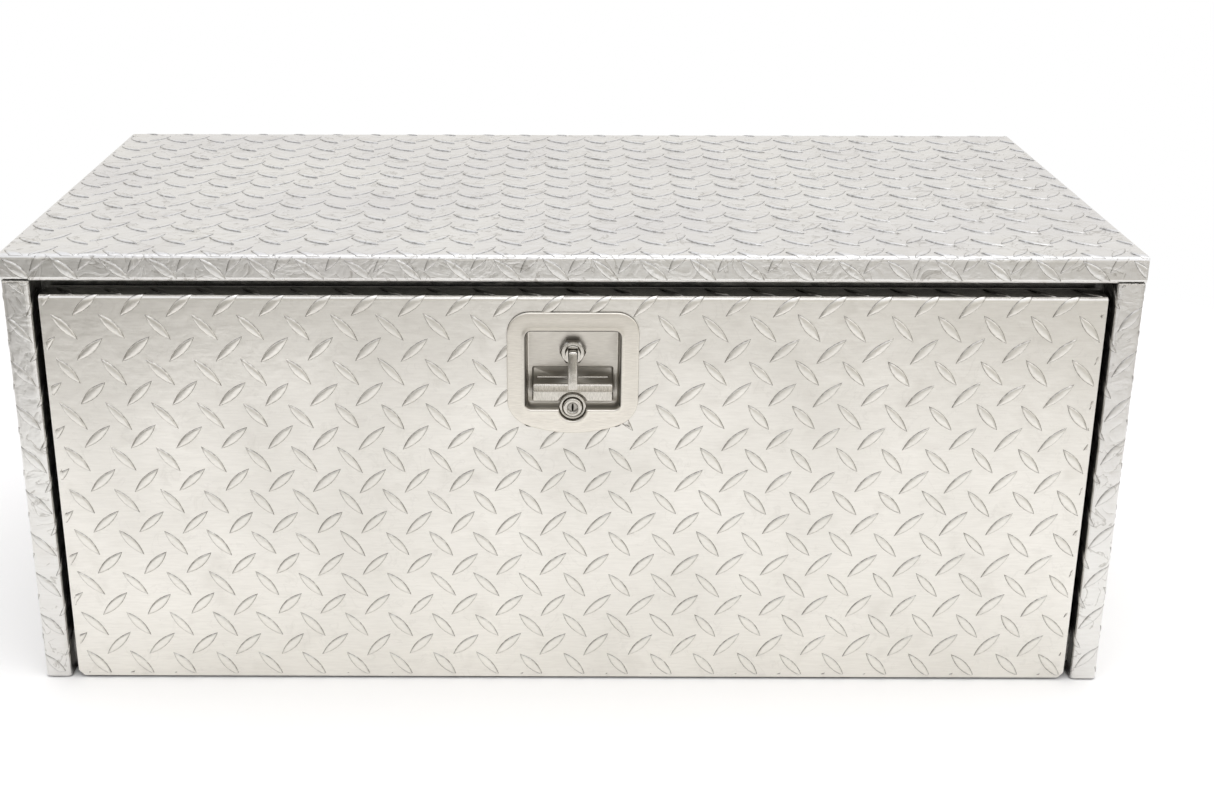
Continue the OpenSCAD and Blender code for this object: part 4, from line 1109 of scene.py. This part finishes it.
# %% Door seal
seal_low, seal_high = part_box("door_seal")
SEAL_WIDE = 3.5  # half the width of the seal's flat foot
SEAL_HALF = seal_high[0] / MM - SEAL_WIDE
SEAL_FOOT, SEAL_HEAD = seal_low[2] / MM + SEAL_WIDE, seal_high[2] / MM - SEAL_WIDE
SEAL_FACE, SEAL_BACK = seal_low[1] / MM - FACE_Y, seal_high[1] / MM - FACE_Y
SEAL_SECTION = [(-SEAL_WIDE, SEAL_BACK), (-SEAL_WIDE, SEAL_BACK - 1.0), (-2.9, SEAL_BACK - 1.3)] + [
    (2.7 * math.cos(a), SEAL_BACK - 2.0 - (SEAL_BACK - 2.0 - SEAL_FACE) * math.sin(a))
    for a in (math.pi * (1 - i / 10) for i in range(11))] + [
    (2.9, SEAL_BACK - 1.3), (SEAL_WIDE, SEAL_BACK - 1.0), (SEAL_WIDE, SEAL_BACK)]


def seal_path(corner=9.0):
    """Centres, outward directions and corner radius along the seal's round-cornered run."""
    mid_z = (SEAL_HEAD + SEAL_FOOT) / 2
    half_x, half_z = SEAL_HALF - corner, (SEAL_HEAD - SEAL_FOOT) / 2 - corner
    turns = [(1, 1), (-1, 1), (-1, -1), (1, -1)]
    path = []
    for quarter, (sx, sz) in enumerate(turns):
        for step in range(9):
            a = math.radians(90 * quarter + 90 * step / 8)
            path.append(((sx * half_x, mid_z + sz * half_z), (math.cos(a), math.sin(a)), corner))
        next_x, next_z = turns[(quarter + 1) % 4]
        steps = 24 if next_x != sx else 9
        for step in range(1, steps):
            share = step / steps
            path.append(((half_x * (sx + (next_x - sx) * share),
                          mid_z + half_z * (sz + (next_z - sz) * share)),
                         (math.cos(a), math.sin(a)), corner))
    return path


seal_rings = []
for number, (centre, out, corner) in enumerate(seal_path()):
    waver = 0.12 * math.sin(number * 1.9) + 0.08 * math.sin(number * 0.73)
    seal_rings.append([spot(centre[0] + out[0] * (corner + across + waver * (depth < SEAL_BACK - 1.2)),
                            depth, centre[1] + out[1] * (corner + across))
                       for across, depth in SEAL_SECTION])
seal = stack("door_bulb_seal", seal_rings, False)
settle(seal, "box", rubber, ["door_seal"], 50)

# %% [markdown]
# The end panels are welded to the wrap. A TIG bead is a row of overlapping ripples, each a frozen
# puddle of metal, so it is made as such: a line is divided every millimetre or two, and a flat
# rounded ripple is set on each point, leaning back on the one before. Geometry Nodes do this along
# any line they are given.

# %% Weld bead tree
WELD_INPUTS = [
    ("Finish", "NodeSocketMaterial"), ("Ripple pitch", "NodeSocketFloat"),
    ("Bead width", "NodeSocketFloat"), ("Bead height", "NodeSocketFloat"), ("Seed", "NodeSocketInt")]


def weld_tree():
    tree = new_tree("weld_ripples", WELD_INPUTS)
    given = put(tree, "NodeGroupInput").outputs
    line = put(tree, "GeometryNodeMeshToCurve", None, {"Mesh": given["Geometry"]}, 0)
    dots = put(tree, "GeometryNodeCurveToPoints", {"mode": "LENGTH"}, {
        "Curve": line, "Length": given["Ripple pitch"]})
    ball = put(tree, "GeometryNodeMeshUVSphere", None, {"Segments": 8, "Rings": 5, "Radius": 1.0}, "Mesh")
    ripple_long = put(tree, "ShaderNodeMath", MULTIPLY, {0: given["Ripple pitch"], 1: 1.5}, 0)
    size = put(tree, "ShaderNodeCombineXYZ", None, {
        "X": given["Bead height"], "Y": given["Bead width"], "Z": ripple_long}, 0)
    uneven = put(tree, "FunctionNodeRandomValue", {"data_type": "FLOAT"}, {
        2: 0.86, 3: 1.12, "Seed": given["Seed"]}, 1)
    scale = put(tree, "ShaderNodeVectorMath", {"operation": "SCALE"}, {0: size, "Scale": uneven}, 0)
    lean = put(tree, "FunctionNodeRotateRotation", {"rotation_space": "LOCAL"}, {
        0: dots.outputs["Rotation"], 1: (0.0, math.radians(24), 0.0)}, 0)
    ripples = put(tree, "GeometryNodeInstanceOnPoints", None, {
        "Points": dots.outputs["Points"], "Instance": ball, "Rotation": lean, "Scale": scale}, 0)
    real = put(tree, "GeometryNodeRealizeInstances", None, {"Geometry": ripples}, 0)
    painted = put(tree, "GeometryNodeSetMaterial", None, {"Geometry": real, "Material": given["Finish"]}, 0)
    put(tree, "NodeGroupOutput", None, {"Geometry": painted})
    return tree


welds = weld_tree()
print("weld tree:", len(welds.nodes), "nodes")

# %% [markdown]
# Three lines are welded on each side: along the top edge, up the back corner, and across the joint
# where the end's front flange meets the band. Each line is only two points, and the tree divides it.

# %% Weld beads
def weld_line(name, start, end):
    mesh = bpy.data.meshes.new(name)
    mesh.from_pydata([spot(*start), spot(*end)], [(0, 1)], [])
    return mesh


def weld_side(side, word):
    """Beads where one end panel meets the wrap: top, back corner, and the flange under the band."""
    edge = side * (BOX_HALF + 0.1)
    corner, joint = side * (BOX_HALF - 2.4), side * (BOX_HALF - 2)
    lines = [((edge, 3, 378.6), (edge, BOX_DEEP - 3, 378.6), 1.5, 1.3),
             ((corner, BOX_DEEP + 0.1, 4), (corner, BOX_DEEP + 0.1, END_TOP), 1.5, 1.3),
             ((joint, 0.2, BAND_FOOT), (side * (FRAME_HALF + 0.9), 0.2, BAND_FOOT), 1.0, 0.8)]
    beads = []
    for number, (start, end, width, pitch) in enumerate(lines):
        beads.append(placed("bead", grown(welds, {
            "Finish": bead_metal, "Ripple pitch": pitch * MM, "Bead width": width * MM,
            "Bead height": width * 0.55 * MM, "Seed": 40 + number}, "bead",
            weld_line("bead_line", start, end))))
    bead = joined("weld_beads_" + word, beads)
    for polygon in bead.data.polygons:
        polygon.use_smooth = True
    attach(bead, "box")
    print(bead.name, len(bead.data.polygons), "faces")


weld_side(-1, "left")
weld_side(1, "right")
bpy.data.objects.remove(lug)
